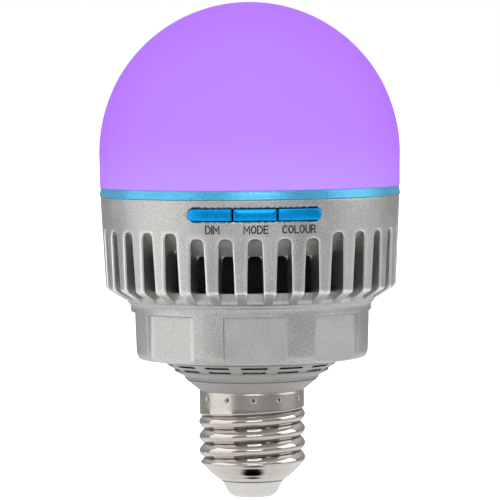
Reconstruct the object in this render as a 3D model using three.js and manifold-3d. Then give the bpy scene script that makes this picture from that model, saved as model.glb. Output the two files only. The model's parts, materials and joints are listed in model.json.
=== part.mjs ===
// Screw-base smart light bulb, battery-backed, with three sprung keys. Millimetres, +Z up.
// The origin is the middle of the centre contact's flat end, and the keys face -Y.
// Angles around the axis are measured from the front (-Y), positive towards +X.

import * as THREE from 'three';
import { mergeVertices } from 'three/addons/utils/BufferGeometryUtils.js';
import Module from 'manifold-3d';

const wasm = await Module();
wasm.setup();

// ---- Driving dimensions ----------------------------------------------------------------------

const CLEAR = 0.3; // gap between a piece and the neighbour it sits in

const CONTACT = { r: 3.2, thickness: 0.6, stemR: 1.2, stemTop: 9 };
const TIP = { bottom: 0.25, top: 4.1, r: 7.4, footR: 5.1, plugR: 6.9, plugTop: 8 };
const THREAD = { crestR: 13.2, rootR: 12.2, pitch: 3.63, bottom: 8.7, top: 21.9, crestFront: 19.8 };
const SHELL = { wall: 0.4, bandR: 12.9, top: 26.8, segments: 16 };
const COLLAR = { top: 34.4, rimR: 22.3, spigotR: 20.3, spigotTop: 38, wireR: 10, vents: 14 };
const NECK = { bottom: 34.4, floorTop: 36.3, openingR: 20.6, innerR: 26.3, pads: 8, padDepth: 28.3 };
const PAD = { halfWidth: 7.54, top: 46.7 };
const FINS = { count: 32, rootR: 31.9, bottom: 49.3, top: 67.3, frontDrop: 1.3, slope: 1.18 };
const SLOT = { topWidth: 3.24, bottomWidth: 3.85, cornerR: 1.2, mouthR: 36.9 };
const BAND = { lowR: 36.35, topR: 37.4, top: 75.6, innerR: 34.6, ledge: 74.2, ledgeR: 35.7 };
const KEY = {
    faceR: 37.75,
    bottom: 70.5,
    top: 73.5,
    turn: 17, // degrees from the middle key to a side key
    middleHalf: 8.05, // half of the middle key's angle
    sideInner: 8.35, // the side key's inner end, from its own middle
    sideReach: 5.48, // the side key's outer end, sideways from its own middle
    endR: 1.3,
    gap: 0.2, // between a key and the window's edge
};
const RETAINER = { back: 32.3, front: 33.5, bottom: 69.7, top: 73.9, inner: 4.5, outer: 6.4 };
const KEY_BOARD = { innerR: 26.5, outerR: 33, half: 32, bottom: 68, top: 69.2, screwTurn: 28 };
const SWITCH = { back: 27.3, front: 30.8, half: 2.4, top: 73.8, pocketBack: 29 };
const PLUNGER = { back: 29.6, front: 31.4, half: 0.8, middle: 72 };
const RING = { r: 37.55, innerR: 35.9, top: 77.8 };
const LED = { plateR: 35.4, padR: 33.8, padTop: 76.1, boardR: 34.2, boardTop: 77.7, count: 12 };
const LED_SCREW = { ringR: 30.6, holeR: 1.5, shankR: 1.2, headR: 2.2, turns: [60, 180, 300] };
const DOME = { r: 37.5, crownR: 37.6, springZ: 86.2, wall: 1.8, skirtR: 35.6, skirtInnerR: 34.5 };
const CORE = { r: 25.9, wall: 1.4, floorBottom: 38.2, floorTop: 39.4, wireR: 17 };
const DRIVER = { half: 19, back: -1.2, front: -2.8, bottom: 40, top: 72 };
const CELL = { r: 8.2, length: 33.8, x: 8.8, y: 12 };
const RADIO = { half: 6, y: [0.2, 1.2], z: [66, 84] };
const LEAD_R = 0.6;
const LED_LEAD_X = 9.5;

const ROUND = 32; // segments of a large turned piece, one to each fin
const SMALL_ROUND = 12; // segments of a screw or a hole
const MIDDLE = 'mode';
const KEY_TURNS = { left: -KEY.turn, [MIDDLE]: 0, right: KEY.turn };

// ---- Shapes ----------------------------------------------------------------------------------

const radians = THREE.MathUtils.degToRad;

/** Leaves only positions and whole triangles, with shared corners merged. */
function welded(geometry) {
    geometry.deleteAttribute('normal');
    geometry.deleteAttribute('uv');
    const merged = mergeVertices(geometry);
    const corners = merged.index.array;
    const kept = [];
    for (let i = 0; i < corners.length; i += 3) {
        const [a, b, c] = corners.slice(i, i + 3);
        if (a !== b && b !== c && c !== a) {
            kept.push(a, b, c);
        }
    }
    merged.setIndex(kept);
    return merged;
}

/** Turns a closed geometry into a solid that can be joined and cut. */
function solid(geometry) {
    const shell = welded(geometry);
    return new wasm.Manifold(new wasm.Mesh({
        numProp: 3,
        vertProperties: new Float32Array(shell.attributes.position.array),
        triVerts: new Uint32Array(shell.index.array),
    }));
}

/** Turns a solid back into a geometry. */
function geometryOf(body) {
    const mesh = body.getMesh();
    const geometry = new THREE.BufferGeometry();
    geometry.setAttribute('position', new THREE.BufferAttribute(mesh.vertProperties, 3));
    geometry.setIndex(new THREE.BufferAttribute(mesh.triVerts, 1));
    return geometry;
}

/** Joins a geometry with others and then cuts more out of it. */
function shaped(base, joined, cut) {
    let body = solid(base);
    for (const geometry of joined) {
        body = body.add(solid(geometry));
    }
    for (const geometry of cut) {
        body = body.subtract(solid(geometry));
    }
    return geometryOf(body);
}

/** A solid of revolution about Z. The [radius, height] profile runs up its outer side. */
function turned(profile, segments = ROUND) {
    const onAxis = profile[0][0] === 0;
    const closed = onAxis ? profile : [...profile, profile[0]];
    const points = closed.map(([r, z]) => new THREE.Vector2(r, z));
    return new THREE.LatheGeometry(points, segments).rotateX(Math.PI / 2);
}

/** A flat washer or tube about Z. */
function ring(innerR, outerR, bottom, top, segments = ROUND) {
    return turned([[innerR, bottom], [outerR, bottom], [outerR, top], [innerR, top]], segments);
}

/** A rod along Z. */
function rod(r, bottom, top, x = 0, y = 0, segments = SMALL_ROUND) {
    return new THREE.CylinderGeometry(r, r, top - bottom, segments)
        .rotateX(Math.PI / 2)
        .translate(x, y, (top + bottom) / 2);
}

/** A box between two limits on each axis. */
function block([x0, x1], [y0, y1], [z0, z1]) {
    return new THREE.BoxGeometry(x1 - x0, y1 - y0, z1 - z0)
        .translate((x0 + x1) / 2, (y0 + y1) / 2, (z0 + z1) / 2);
}

/** A box at the front: sideways limits, distances from the axis, heights; then turned. */
function frontBlock(sideways, [near, far], heights, turn = 0) {
    return block(sideways, [-far, -near], heights).rotateZ(radians(turn));
}

/** A flat plate of any outline, from one height to another. */
function plate(outline, bottom, top, curveSegments = SMALL_ROUND) {
    const depth = top - bottom;
    return new THREE.ExtrudeGeometry(outline, { depth, bevelEnabled: false, curveSegments })
        .translate(0, 0, bottom);
}

/** The outline of a ring's stretch between two angles from the front. */
function sector(innerR, outerR, from, to) {
    const start = radians(from - 90);
    const end = radians(to - 90);
    const outline = new THREE.Shape();
    outline.absarc(0, 0, outerR, start, end, false);
    outline.absarc(0, 0, innerR, end, start, true);
    outline.closePath();
    return outline;
}

/** A sideways-by-height outline pushed outwards from the axis at the front. */
function outwards(outline, near, far, curveSegments = 4) {
    return new THREE.ExtrudeGeometry(outline, { depth: far - near, bevelEnabled: false, curveSegments })
        .translate(0, 0, near)
        .rotateX(Math.PI / 2);
}

/** A round hole in a flat outline. */
function hole(x, y, r, sides = 10) {
    const points = [];
    for (let i = 0; i < sides; i += 1) {
        const angle = (-2 * Math.PI * i) / sides;
        points.push(new THREE.Vector2(x + r * Math.cos(angle), y + r * Math.sin(angle)));
    }
    const path = new THREE.Path(points);
    path.closePath();
    return path;
}

/** A disc's outline. */
function disc(r) {
    return new THREE.Shape().absarc(0, 0, r, 0, 2 * Math.PI, false);
}

/** Points along an arc of a profile, angles in degrees. */
function arc(r, z, radius, from, to, steps) {
    const points = [];
    for (let i = 0; i <= steps; i += 1) {
        const angle = radians(from + ((to - from) * i) / steps);
        points.push([r + radius * Math.cos(angle), z + radius * Math.sin(angle)]);
    }
    return points;
}

/** A place at a distance from the axis and an angle from the front. */
function around(r, turn) {
    return [r * Math.sin(radians(turn)), -r * Math.cos(radians(turn))];
}

/** A round wire along a smooth route. */
function wire(route, steps = 8) {
    const path = new THREE.CatmullRomCurve3(route.map((point) => new THREE.Vector3(...point)));
    const section = disc(LEAD_R);
    return new THREE.ExtrudeGeometry(section, { steps, curveSegments: 6, extrudePath: path });
}

/** A screw pointing down: its round head on a surface, and its shank below. */
function screw(headR, headTop, surface, shankR, tip, x, y) {
    return turned([[0, tip], [shankR, tip], [shankR, surface], [headR, surface],
        [headR, headTop], [0, headTop]], SMALL_ROUND).translate(x, y, 0);
}

// ---- Finishes --------------------------------------------------------------------------------

const FINISHES = {
    opal: { color: 0xb984ff, roughness: 0.4, metalness: 0 },
    blueTrim: { color: 0x2a86b8, roughness: 0.35, metalness: 0.8 },
    blueKey: { color: 0x0a8fd6, roughness: 0.4, metalness: 0.3 },
    castAluminium: { color: 0xa9a8a5, roughness: 0.55, metalness: 0.8 },
    plateAluminium: { color: 0xc4c6c8, roughness: 0.45, metalness: 0.9 },
    nickel: { color: 0xc9c4bb, roughness: 0.25, metalness: 1 },
    greyPlastic: { color: 0x8f8f8c, roughness: 0.6, metalness: 0 },
    blackPlastic: { color: 0x0c0c0c, roughness: 0.6, metalness: 0 },
    whitePlastic: { color: 0xdcdcda, roughness: 0.5, metalness: 0 },
    silicone: { color: 0xe4e4e4, roughness: 0.7, metalness: 0 },
    greenBoard: { color: 0x1d6b3a, roughness: 0.5, metalness: 0 },
    whiteBoard: { color: 0xf0f0ec, roughness: 0.5, metalness: 0 },
    phosphor: { color: 0xf2d46a, roughness: 0.4, metalness: 0 },
    steel: { color: 0xb5b6b8, roughness: 0.3, metalness: 1 },
    ferrite: { color: 0x2b2b2e, roughness: 0.7, metalness: 0 },
    cellWrap: { color: 0x2f6fae, roughness: 0.45, metalness: 0 },
    redWire: { color: 0xb3261e, roughness: 0.5, metalness: 0 },
    blackWire: { color: 0x151515, roughness: 0.5, metalness: 0 },
    whiteWire: { color: 0xe8e8e6, roughness: 0.5, metalness: 0 },
};

const bulb = new THREE.Group();

/** Adds one named piece with a material of its own. */
function add(name, geometry, finish, parent = bulb) {
    const mesh = new THREE.Mesh(welded(geometry), new THREE.MeshStandardMaterial(FINISHES[finish]));
    mesh.name = name;
    parent.add(mesh);
    return mesh;
}

// ---- Screw base ------------------------------------------------------------------------------

/** The centre contact: a flat disc with a stem up through the insulator. */
function buildContact() {
    add('centre_contact', turned([[0, 0], [CONTACT.r, 0], [CONTACT.r, CONTACT.thickness],
        [CONTACT.stemR, CONTACT.thickness], [CONTACT.stemR, CONTACT.stemTop], [0, CONTACT.stemTop]],
    24), 'nickel');
}

/** The moulded insulator between contact and shell, with a recess for the contact. */
function buildTipInsulator() {
    const recessR = CONTACT.r + CLEAR;
    const boreR = CONTACT.stemR + CLEAR;
    add('tip_insulator', turned([
        [recessR, TIP.bottom], [TIP.footR - 0.3, TIP.bottom], [TIP.footR, 0.5],
        [5.6, 1.2], [6.6, 2.7], [TIP.r, 4], [TIP.r, TIP.top - 0.05], [TIP.plugR, TIP.top - 0.05],
        [TIP.plugR, TIP.plugTop], [boreR, TIP.plugTop], [boreR, CONTACT.thickness],
        [recessR, CONTACT.thickness],
    ], 24), 'whitePlastic');
}

/** The thread's radius at a height and an angle round from the front. */
function threadRadius(z, turn) {
    const phase = (z - THREAD.crestFront) / THREAD.pitch - turn / 360;
    const wave = 0.5 + 0.5 * Math.cos(2 * Math.PI * phase);
    const fade = Math.min(1, (THREAD.top - z) / 1.5, (z - THREAD.bottom) / 1.2);
    const height = THREAD.crestR - THREAD.rootR;
    return THREAD.rootR + height * THREE.MathUtils.lerp(0.55, wave, Math.max(0, fade));
}

/** The thin screw shell, turned plain and then pressed into a rolled right-hand thread. */
function buildScrewShell() {
    const taper = [[7.7, 4.2], [9.3, 5.2], [10.5, 6.2], [11.2, 7.2], [12.1, 8.2]];
    const threadStep = THREAD.pitch / 4;
    const outer = [...taper];
    for (let z = THREAD.bottom; z < THREAD.top; z += threadStep) {
        outer.push([THREAD.rootR, z]);
    }
    outer.push([SHELL.bandR, 22.3], [SHELL.bandR, SHELL.top]);
    const inner = outer.map(([r, z]) => [r - SHELL.wall, z]).reverse();
    const geometry = turned([...outer, ...inner], SHELL.segments);
    const position = geometry.attributes.position;
    for (let i = 0; i < position.count; i += 1) {
        const [x, y, z] = [position.getX(i), position.getY(i), position.getZ(i)];
        const threaded = z > THREAD.bottom - 0.01 && z < THREAD.top;
        if (threaded) {
            const r = Math.hypot(x, y);
            const turn = THREE.MathUtils.radToDeg(Math.atan2(x, -y));
            const scale = (r + threadRadius(z, turn) - THREAD.rootR) / r;
            position.setXYZ(i, x * scale, y * scale, z);
        }
    }
    add('screw_shell', geometry, 'nickel');
}

/** The plastic base collar: vented cone, spigot into the shell and three snap hooks. */
function buildBaseCollar() {
    const body = turned([
        [COLLAR.wireR, 18.5], [11.3, 18.5], [11.3, 22.4], [12.2, 22.4], [12.2, SHELL.top],
        [13, SHELL.top], [16.5, 29.7], [16.8, 29.9], [16.8, 30.5], [19.2, 31.7], [19.3, 32.2],
        [COLLAR.rimR, 34.2], [COLLAR.rimR, COLLAR.top], [COLLAR.spigotR, COLLAR.top],
        [COLLAR.spigotR, COLLAR.spigotTop], [18.7, COLLAR.spigotTop], [18.7, COLLAR.top],
        [17.4, 32.8], [10.9, 27.2], [COLLAR.wireR, 26.2],
    ], 2 * COLLAR.vents);
    const hooks = [0, 120, 240].map((turn) => (
        plate(sector(19, 21.5, turn - 12, turn + 12), 36.6, 37.8, 4)));
    const rows = [
        { half: 3.25, reach: [17, 23], heights: [33.35, 33.85] },
        { half: 2.9, reach: [15.9, 21], heights: [32.25, 32.75] },
    ];
    const vents = [];
    for (const { half, reach, heights } of rows) {
        for (let i = 0; i < COLLAR.vents; i += 1) {
            vents.push(frontBlock([-half, half], reach, heights, (360 * i) / COLLAR.vents));
        }
    }
    add('base_collar', shaped(body, hooks, vents), 'greyPlastic');
    add('insulating_sleeve', ring(14.2, 15.4, 31.6, 38.4, 32), 'whitePlastic');
}

// ---- Heat sink -------------------------------------------------------------------------------

/** The cutter for one slot between fins: rounded top, ceiling sloping down inwards. */
function slotCutter(top, turn) {
    const { topWidth, bottomWidth, cornerR } = SLOT;
    const halfTop = topWidth / 2;
    const outline = new THREE.Shape();
    outline.moveTo(-bottomWidth / 2, FINS.bottom);
    outline.lineTo(bottomWidth / 2, FINS.bottom);
    outline.lineTo(halfTop, top - cornerR);
    outline.absarc(halfTop - cornerR, top - cornerR, cornerR, 0, Math.PI / 2, false);
    outline.absarc(cornerR - halfTop, top - cornerR, cornerR, Math.PI / 2, Math.PI, false);
    outline.closePath();
    const geometry = outwards(outline, FINS.rootR, BAND.topR + 2, 1);
    const position = geometry.attributes.position;
    for (let i = 0; i < position.count; i += 1) {
        if (position.getZ(i) > FINS.bottom + 1) {
            const inwards = SLOT.mouthR + position.getY(i);
            position.setZ(i, position.getZ(i) - FINS.slope * inwards);
        }
    }
    return geometry.rotateZ(radians(turn));
}

/** A side key's outline seen from the front, grown by a margin; side is -1 left, 1 right. */
function sideKeyOutline(side, margin) {
    const r = KEY.endR + margin;
    const low = KEY.bottom - margin;
    const high = KEY.top + margin;
    const inner = -7;
    const outer = KEY.sideReach + margin;
    const outline = new THREE.Shape();
    outline.moveTo(inner, low);
    outline.lineTo(outer - r, low);
    outline.absarc(outer - r, low + r, r, -Math.PI / 2, 0, false);
    outline.absarc(outer - r, high - r, r, 0, Math.PI / 2, false);
    outline.lineTo(inner, high);
    outline.closePath();
    if (side > 0) {
        return outline;
    }
    const mirrored = outline.getPoints(4).map((point) => new THREE.Vector2(-point.x, point.y));
    return new THREE.Shape(mirrored.reverse());
}

/** The window in the band for the three keys, in three cutters. */
function keyWindow() {
    const [low, high] = [KEY.bottom - KEY.gap, KEY.top + KEY.gap];
    const sides = [-1, 1].map((side) => (
        outwards(sideKeyOutline(side, KEY.gap), 32, 40).rotateZ(radians(side * KEY.turn))));
    return [plate(sector(33, 40, -12, 12), low, high), ...sides];
}

/** The die-cast body: band, fins, shoulder and neck with its flat pads. */
function buildHeatSink() {
    const body = turned([
        [NECK.openingR, NECK.bottom], [22.5, NECK.bottom], [26.5, 34.95],
        ...arc(27.4, 37.3, 2.35, -70, 0, 2),
        [30.1, 47], [30.2, 49], [30.7, 49.4],
        ...arc(35, 53.53, 1.35, -59, 0, 1),
        [BAND.topR, BAND.top], [BAND.ledgeR, BAND.top], [BAND.ledgeR, BAND.ledge],
        [BAND.innerR, BAND.ledge], [BAND.innerR, 67.7], [32.4, 65], [32.4, 52.7],
        [30, 52.7], [30, 51.5], [NECK.innerR, 47.8], [NECK.innerR, NECK.floorTop],
        [NECK.openingR, NECK.floorTop],
    ]);
    const bosses = LED_SCREW.turns.map((turn) => (
        frontBlock([-2.8, 2.8], [28, 34.8], [66, BAND.ledge], turn)));
    const brackets = [-1, 1].map((side) => (
        frontBlock([-2.3, 2.3], [28.2, 34.8], [63.5, KEY_BOARD.bottom], side * KEY_BOARD.screwTurn)));
    const cuts = [...keyWindow()];
    for (const turn of LED_SCREW.turns) {
        cuts.push(rod(LED_SCREW.holeR, 69, 75, ...around(LED_SCREW.ringR, turn)));
    }
    for (const side of [-1, 1]) {
        cuts.push(rod(1.1, 64.5, 68.5, ...around(30, side * KEY_BOARD.screwTurn)));
    }
    for (let i = 0; i < FINS.count; i += 1) {
        const frontFive = i <= 2 || i >= FINS.count - 2;
        const top = FINS.top - (frontFive ? FINS.frontDrop : 0);
        cuts.push(slotCutter(top, (360 * i) / FINS.count));
    }
    for (let i = 0; i < NECK.pads; i += 1) {
        const sideways = [-PAD.halfWidth, PAD.halfWidth];
        cuts.push(frontBlock(sideways, [NECK.padDepth, 32], [33, PAD.top], (360 * i) / NECK.pads));
    }
    add('heat_sink', shaped(body, [...bosses, ...brackets], cuts), 'castAluminium');
}

// ---- Keys and their switches -----------------------------------------------------------------

/** The cap of one key, built at the front: curved face, retaining flange and stem. */
function keyCap(name) {
    const side = Math.sign(KEY_TURNS[name]);
    const from = name === MIDDLE ? -KEY.middleHalf : -KEY.sideInner;
    const to = name === MIDDLE ? KEY.middleHalf : KEY.sideInner + 2;
    const limits = side < 0 ? [-to, -from] : [from, to];
    let cap = solid(plate(sector(33.2, KEY.faceR, ...limits), KEY.bottom, KEY.top, 6));
    if (name !== MIDDLE) {
        cap = cap.intersect(solid(outwards(sideKeyOutline(side, 0), 30, 40)));
    }
    const reach = name === MIDDLE ? RETAINER.inner : RETAINER.outer;
    const width = side < 0 ? [-reach, RETAINER.inner] : [-RETAINER.inner, reach];
    const flange = frontBlock(width, [RETAINER.back, RETAINER.front], [RETAINER.bottom, RETAINER.top]);
    const stem = frontBlock([-1.2, 1.2], [PLUNGER.front + CLEAR, RETAINER.back + 0.2], [71, 73]);
    return geometryOf(cap.add(solid(flange)).add(solid(stem)));
}

/** The three keys, each with a side-push switch and its plunger, in turned groups. */
function buildKeys() {
    const { half, middle } = PLUNGER;
    const pocket = half + CLEAR;
    for (const [name, turn] of Object.entries(KEY_TURNS)) {
        const station = new THREE.Group();
        station.rotation.z = radians(turn);
        bulb.add(station);
        add(`key_${name}`, keyCap(name), 'blueKey', station);
        const body = frontBlock([-SWITCH.half, SWITCH.half], [SWITCH.back, SWITCH.front],
            [KEY_BOARD.top, SWITCH.top]);
        const well = frontBlock([-pocket, pocket], [SWITCH.pocketBack, SWITCH.front + 1],
            [middle - pocket, middle + pocket]);
        add(`switch_body_${name}`, shaped(body, [], [well]), 'blackPlastic', station);
        add(`switch_plunger_${name}`, frontBlock([-half, half], [PLUNGER.back, PLUNGER.front],
            [middle - half, middle + half]), 'whitePlastic', station);
    }
}

/** The crescent board under the keys, its two screws and its ribbon to the driver. */
function buildKeyBoard() {
    const outline = sector(KEY_BOARD.innerR, KEY_BOARD.outerR, -KEY_BOARD.half, KEY_BOARD.half);
    [-1, 1].forEach((side, i) => {
        const [x, y] = around(30, side * KEY_BOARD.screwTurn);
        outline.holes.push(hole(x, y, 1.1));
        add(`key_board_screw_${i + 1}`, screw(1.7, 70.3, KEY_BOARD.top, 0.8, 65, x, y), 'steel');
    });
    add('key_board', plate(outline, KEY_BOARD.bottom, KEY_BOARD.top), 'greenBoard');
    const route = [[0, -30, 67.4], [0, -26, 67.4], [0, -16, 66.4], [0, -3.3, 66]];
    const path = new THREE.CatmullRomCurve3(route.map((point) => new THREE.Vector3(...point)));
    const strip = new THREE.Shape();
    strip.moveTo(-3, -0.2);
    strip.lineTo(3, -0.2);
    strip.lineTo(3, 0.2);
    strip.lineTo(-3, 0.2);
    add('key_ribbon', new THREE.ExtrudeGeometry(strip, { steps: 8, extrudePath: path }), 'whiteWire');
}

// ---- Light engine and dome -------------------------------------------------------------------

/** A round plate of the light engine with its screw holes, lead holes and radio slot. */
function enginePlate(r, bottom, top, margin) {
    const outline = disc(r);
    for (const turn of LED_SCREW.turns) {
        outline.holes.push(hole(...around(LED_SCREW.ringR, turn), LED_SCREW.holeR + margin));
    }
    for (const side of [-1, 1]) {
        outline.holes.push(hole(side * LED_LEAD_X, -2, 1.3 + margin));
    }
    const slot = new THREE.Path();
    const wide = RADIO.half + 0.6;
    const [low, high] = [RADIO.y[0] - 0.6, RADIO.y[1] + 0.6];
    slot.moveTo(-wide, low);
    slot.lineTo(-wide, high);
    slot.lineTo(wide, high);
    slot.lineTo(wide, low);
    slot.closePath();
    outline.holes.push(slot);
    return plate(outline, bottom, top, 16);
}

/** The LED plate, pad, board, emitters and screws, and the radio board that stands through them. */
function buildLightEngine() {
    add('led_plate', enginePlate(LED.plateR, BAND.ledge, BAND.top, 0), 'plateAluminium');
    add('thermal_pad', enginePlate(LED.padR, BAND.top, LED.padTop, 0.1), 'silicone');
    add('led_board', enginePlate(LED.boardR, LED.padTop, LED.boardTop, 0), 'whiteBoard');
    for (let i = 0; i < LED.count; i += 1) {
        const turn = (360 * (i + 0.5)) / LED.count;
        const emitter = frontBlock([-1.75, 1.75], [20.25, 23.75], [LED.boardTop, LED.boardTop + 0.7]);
        add(`led_emitter_${i + 1}`, emitter.rotateZ(radians(turn)), 'phosphor');
    }
    LED_SCREW.turns.forEach((turn, i) => {
        const place = around(LED_SCREW.ringR, turn);
        const head = LED.boardTop + 1.5;
        add(`board_screw_${i + 1}`, screw(LED_SCREW.headR, head, LED.boardTop, LED_SCREW.shankR,
            69.5, ...place), 'steel');
    });
    add('radio_module', block([-RADIO.half, RADIO.half], RADIO.y, RADIO.z), 'greenBoard');
}

/** The blue trim ring, the dome's gasket and the opal dome with its skirt inside the ring. */
function buildDome() {
    add('trim_ring', ring(RING.innerR, RING.r, BAND.top, RING.top), 'blueTrim');
    add('dome_gasket', ring(LED.boardR, DOME.skirtR, BAND.top, LED.padTop),
        'silicone');
    const innerR = DOME.r - DOME.wall;
    const crownInnerR = DOME.crownR - DOME.wall;
    add('diffuser_dome', turned([
        [DOME.skirtInnerR, LED.padTop], [DOME.skirtR, LED.padTop], [DOME.skirtR, RING.top],
        [DOME.r, RING.top], ...arc(0, DOME.springZ, DOME.crownR, 0, 80, 8),
        [0, DOME.springZ + DOME.crownR], [0, DOME.springZ + crownInnerR],
        ...arc(0, DOME.springZ, crownInnerR, 75, 0, 5),
        [innerR, 79.5], [DOME.skirtInnerR, 78.3],
    ]), 'opal');
}

// ---- Inside the body -------------------------------------------------------------------------

/** The black inner housing, with a notch for the key ribbon. */
function buildCore() {
    const innerR = CORE.r - CORE.wall;
    const cup = turned([
        [innerR, NECK.floorTop], [CORE.r, NECK.floorTop], [CORE.r, BAND.ledge],
        [innerR, BAND.ledge], [innerR, CORE.floorTop], [CORE.wireR, CORE.floorTop],
        [CORE.wireR, CORE.floorBottom], [innerR, CORE.floorBottom],
    ]);
    const notch = frontBlock([-4, 4], [22, 28], [65.5, BAND.ledge + 1]);
    add('core_housing', shaped(cup, [], [notch]), 'blackPlastic');
}

/** The driver board with the mains parts on its front face. */
function buildDriver() {
    const { half, back, front, bottom, top } = DRIVER;
    add('driver_board', block([-half, half], [front, back], [bottom, top]), 'greenBoard');
    const winding = rod(6, 52.5, 61.5, -11, front - 6.9, 20);
    const core = block([-17.5, -4.5], [front - 9.4, front - 4.4], [50, 64]);
    const foot = block([-16.5, -5.5], [front - 5, front], [50, 52]);
    add('transformer', shaped(core, [winding, foot], []), 'ferrite');
    add('bulk_capacitor', rod(5, 42, 60, 9.5, front - 5 - CLEAR, 20), 'blackPlastic');
    add('filter_capacitor', block([-17, -7], [front - 6.2, front], [41, 48]), 'redWire');
    const choke = turned([[2, -2.2], [4.3, -2.2], [4.3, 2.2], [2, 2.2]], 20);
    add('line_choke', choke.rotateX(Math.PI / 2).translate(-1, front - 2.5, 45.6), 'ferrite');
    add('rectifier', block([5, 13], [front - 2.5, front], [62, 70]), 'blackPlastic');
}

/** Two cells in their holders with the nickel strip that joins them. */
function buildCells() {
    const top = CORE.floorTop + CELL.length;
    for (const [name, side] of [['left', -1], ['right', 1]]) {
        add(`battery_cell_${name}`, rod(CELL.r, CORE.floorTop, top, side * CELL.x, CELL.y, 24),
            'cellWrap');
    }
    const holderR = 24.1;
    const straight = 1.5;
    const turn = Math.asin(straight / holderR);
    for (const [name, bottom] of [['lower', 43], ['upper', 67]]) {
        const outline = new THREE.Shape();
        outline.absarc(0, 0, holderR, turn, Math.PI - turn, false);
        outline.closePath();
        for (const side of [-1, 1]) {
            outline.holes.push(hole(side * CELL.x, CELL.y, CELL.r + CLEAR, 24));
        }
        add(`cell_holder_${name}`, plate(outline, bottom, bottom + 2), 'blackPlastic');
    }
    add('cell_link', block([-12, 12], [9.5, 14.5], [top, top + 0.3]), 'nickel');
}

/** Every lead, each ending just short of what it is soldered to, and the fusible resistor. */
function buildLeads() {
    const boardY = (DRIVER.front + DRIVER.back) / 2;
    add('live_lead', wire([[0, 0, CONTACT.stemTop + CLEAR], [0, 0, 16], [0, boardY, 21],
        [0, boardY, 26]]), 'redWire');
    add('fusible_resistor', turned([[0, 26.4], [0.45, 26.4], [0.45, 28], [1.7, 28.4], [1.7, 35],
        [0.45, 35.4], [0.45, DRIVER.bottom - CLEAR], [0, DRIVER.bottom - CLEAR]], SMALL_ROUND)
        .translate(0, boardY, 0), 'whiteBoard');
    add('neutral_lead', wire([[10.6, 0, 13], [9, -0.5, 19], [8, -1.5, 28],
        [8, boardY, DRIVER.bottom - CLEAR]]), 'blackWire');
    for (const [name, side, finish] of [['plus', -1, 'redWire'], ['minus', 1, 'blackWire']]) {
        const x = side * LED_LEAD_X;
        add(`led_lead_${name}`, wire([[x, -2, DRIVER.top + CLEAR], [x, -2, 74],
            [x, -2, LED.padTop - CLEAR]], 2), finish);
        const cellX = side * (CELL.x + 5);
        add(`battery_lead_${name}`, wire([[cellX, 3.6, 60], [cellX, 2.2, 62], [cellX, 1, 65],
            [cellX, DRIVER.back + 1.2, 68]], 6), finish);
    }
}

buildContact();
buildTipInsulator();
buildScrewShell();
buildBaseCollar();
buildHeatSink();
buildKeys();
buildKeyBoard();
buildCore();
buildDriver();
buildCells();
buildLeads();
buildLightEngine();
buildDome();

export default bulb;
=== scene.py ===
"""The smart light bulb's finished surfaces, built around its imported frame.

Every length in this file is in millimetres until `Shape.piece` turns it into metres. Angles around the
axis are in degrees from the front (-Y), positive towards +X, where the keys are.
"""

from __future__ import annotations

import json
import logging
import math
from dataclasses import dataclass, field
from enum import Enum
from typing import Optional, Sequence

import bmesh
import bpy
import numpy as np
from mathutils import Matrix, Vector


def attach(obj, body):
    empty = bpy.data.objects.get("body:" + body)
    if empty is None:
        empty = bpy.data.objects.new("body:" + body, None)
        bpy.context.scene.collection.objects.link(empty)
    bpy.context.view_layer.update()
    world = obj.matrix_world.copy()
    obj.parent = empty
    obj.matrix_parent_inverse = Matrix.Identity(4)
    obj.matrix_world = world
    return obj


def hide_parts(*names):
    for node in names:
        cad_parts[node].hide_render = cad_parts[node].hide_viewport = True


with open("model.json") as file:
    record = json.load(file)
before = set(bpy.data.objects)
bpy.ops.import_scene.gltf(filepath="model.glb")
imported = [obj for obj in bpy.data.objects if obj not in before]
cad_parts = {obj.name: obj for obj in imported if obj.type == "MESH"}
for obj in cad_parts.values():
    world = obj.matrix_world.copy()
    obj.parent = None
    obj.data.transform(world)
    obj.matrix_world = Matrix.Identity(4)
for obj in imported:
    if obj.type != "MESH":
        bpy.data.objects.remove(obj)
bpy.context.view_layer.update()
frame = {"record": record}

LOG = logging.getLogger("smart_bulb")
MM = 0.001  # metres in a millimetre
BULB = "bulb"  # the body that everything fixed rides on
SMOOTH_DEG = 42  # faces that meet at less than this are shaded as one surface
CLOUD_GRAINS = 25  # grains across one of the soft clouds in a finish
CLOUD_SHARE = 0.2  # how much the clouds count beside the grain

Profile = list[tuple[float, float]]
Point = tuple[float, float, float]


# ---- Shapes ------------------------------------------------------------------------------------


def rounded(corners: Sequence[tuple[float, ...]], steps: int = 4) -> Profile:
    """Rounds the corners of a closed profile.

    Args:
        corners: radius and height of each corner, and a fillet radius where it has one.
        steps: flat steps to each fillet.

    Returns:
        The profile's points in order.
    """
    points: Profile = []
    count = len(corners)
    for i, corner in enumerate(corners):
        here = Vector(corner[:2])
        radius = corner[2] if len(corner) > 2 else 0.0
        to_last = Vector(corners[i - 1][:2]) - here
        to_next = Vector(corners[(i + 1) % count][:2]) - here
        if radius <= 0:
            points.append((here.x, here.y))
            continue
        half = to_last.angle(to_next) / 2
        reach = min(radius / math.tan(half), 0.49 * to_last.length, 0.49 * to_next.length)
        start = here + to_last.normalized() * reach
        end = here + to_next.normalized() * reach
        for step in range(steps + 1):
            t = step / steps
            bend = start * (1 - t) ** 2 + here * 2 * t * (1 - t) + end * t**2
            points.append((bend.x, bend.y))
    return points


def place(turn: float, sideways: float, out: float, height: float) -> Point:
    """Finds a point from a station around the axis.

    Args:
        turn: the station's angle from the front.
        sideways: distance to the station's right, seen from outside.
        out: distance from the axis along the station's direction.
        height: height above the contact.

    Returns:
        The point's x, y and z.
    """
    angle = math.radians(turn)
    return (
        out * math.sin(angle) + sideways * math.cos(angle),
        -out * math.cos(angle) + sideways * math.sin(angle),
        height,
    )


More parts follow.
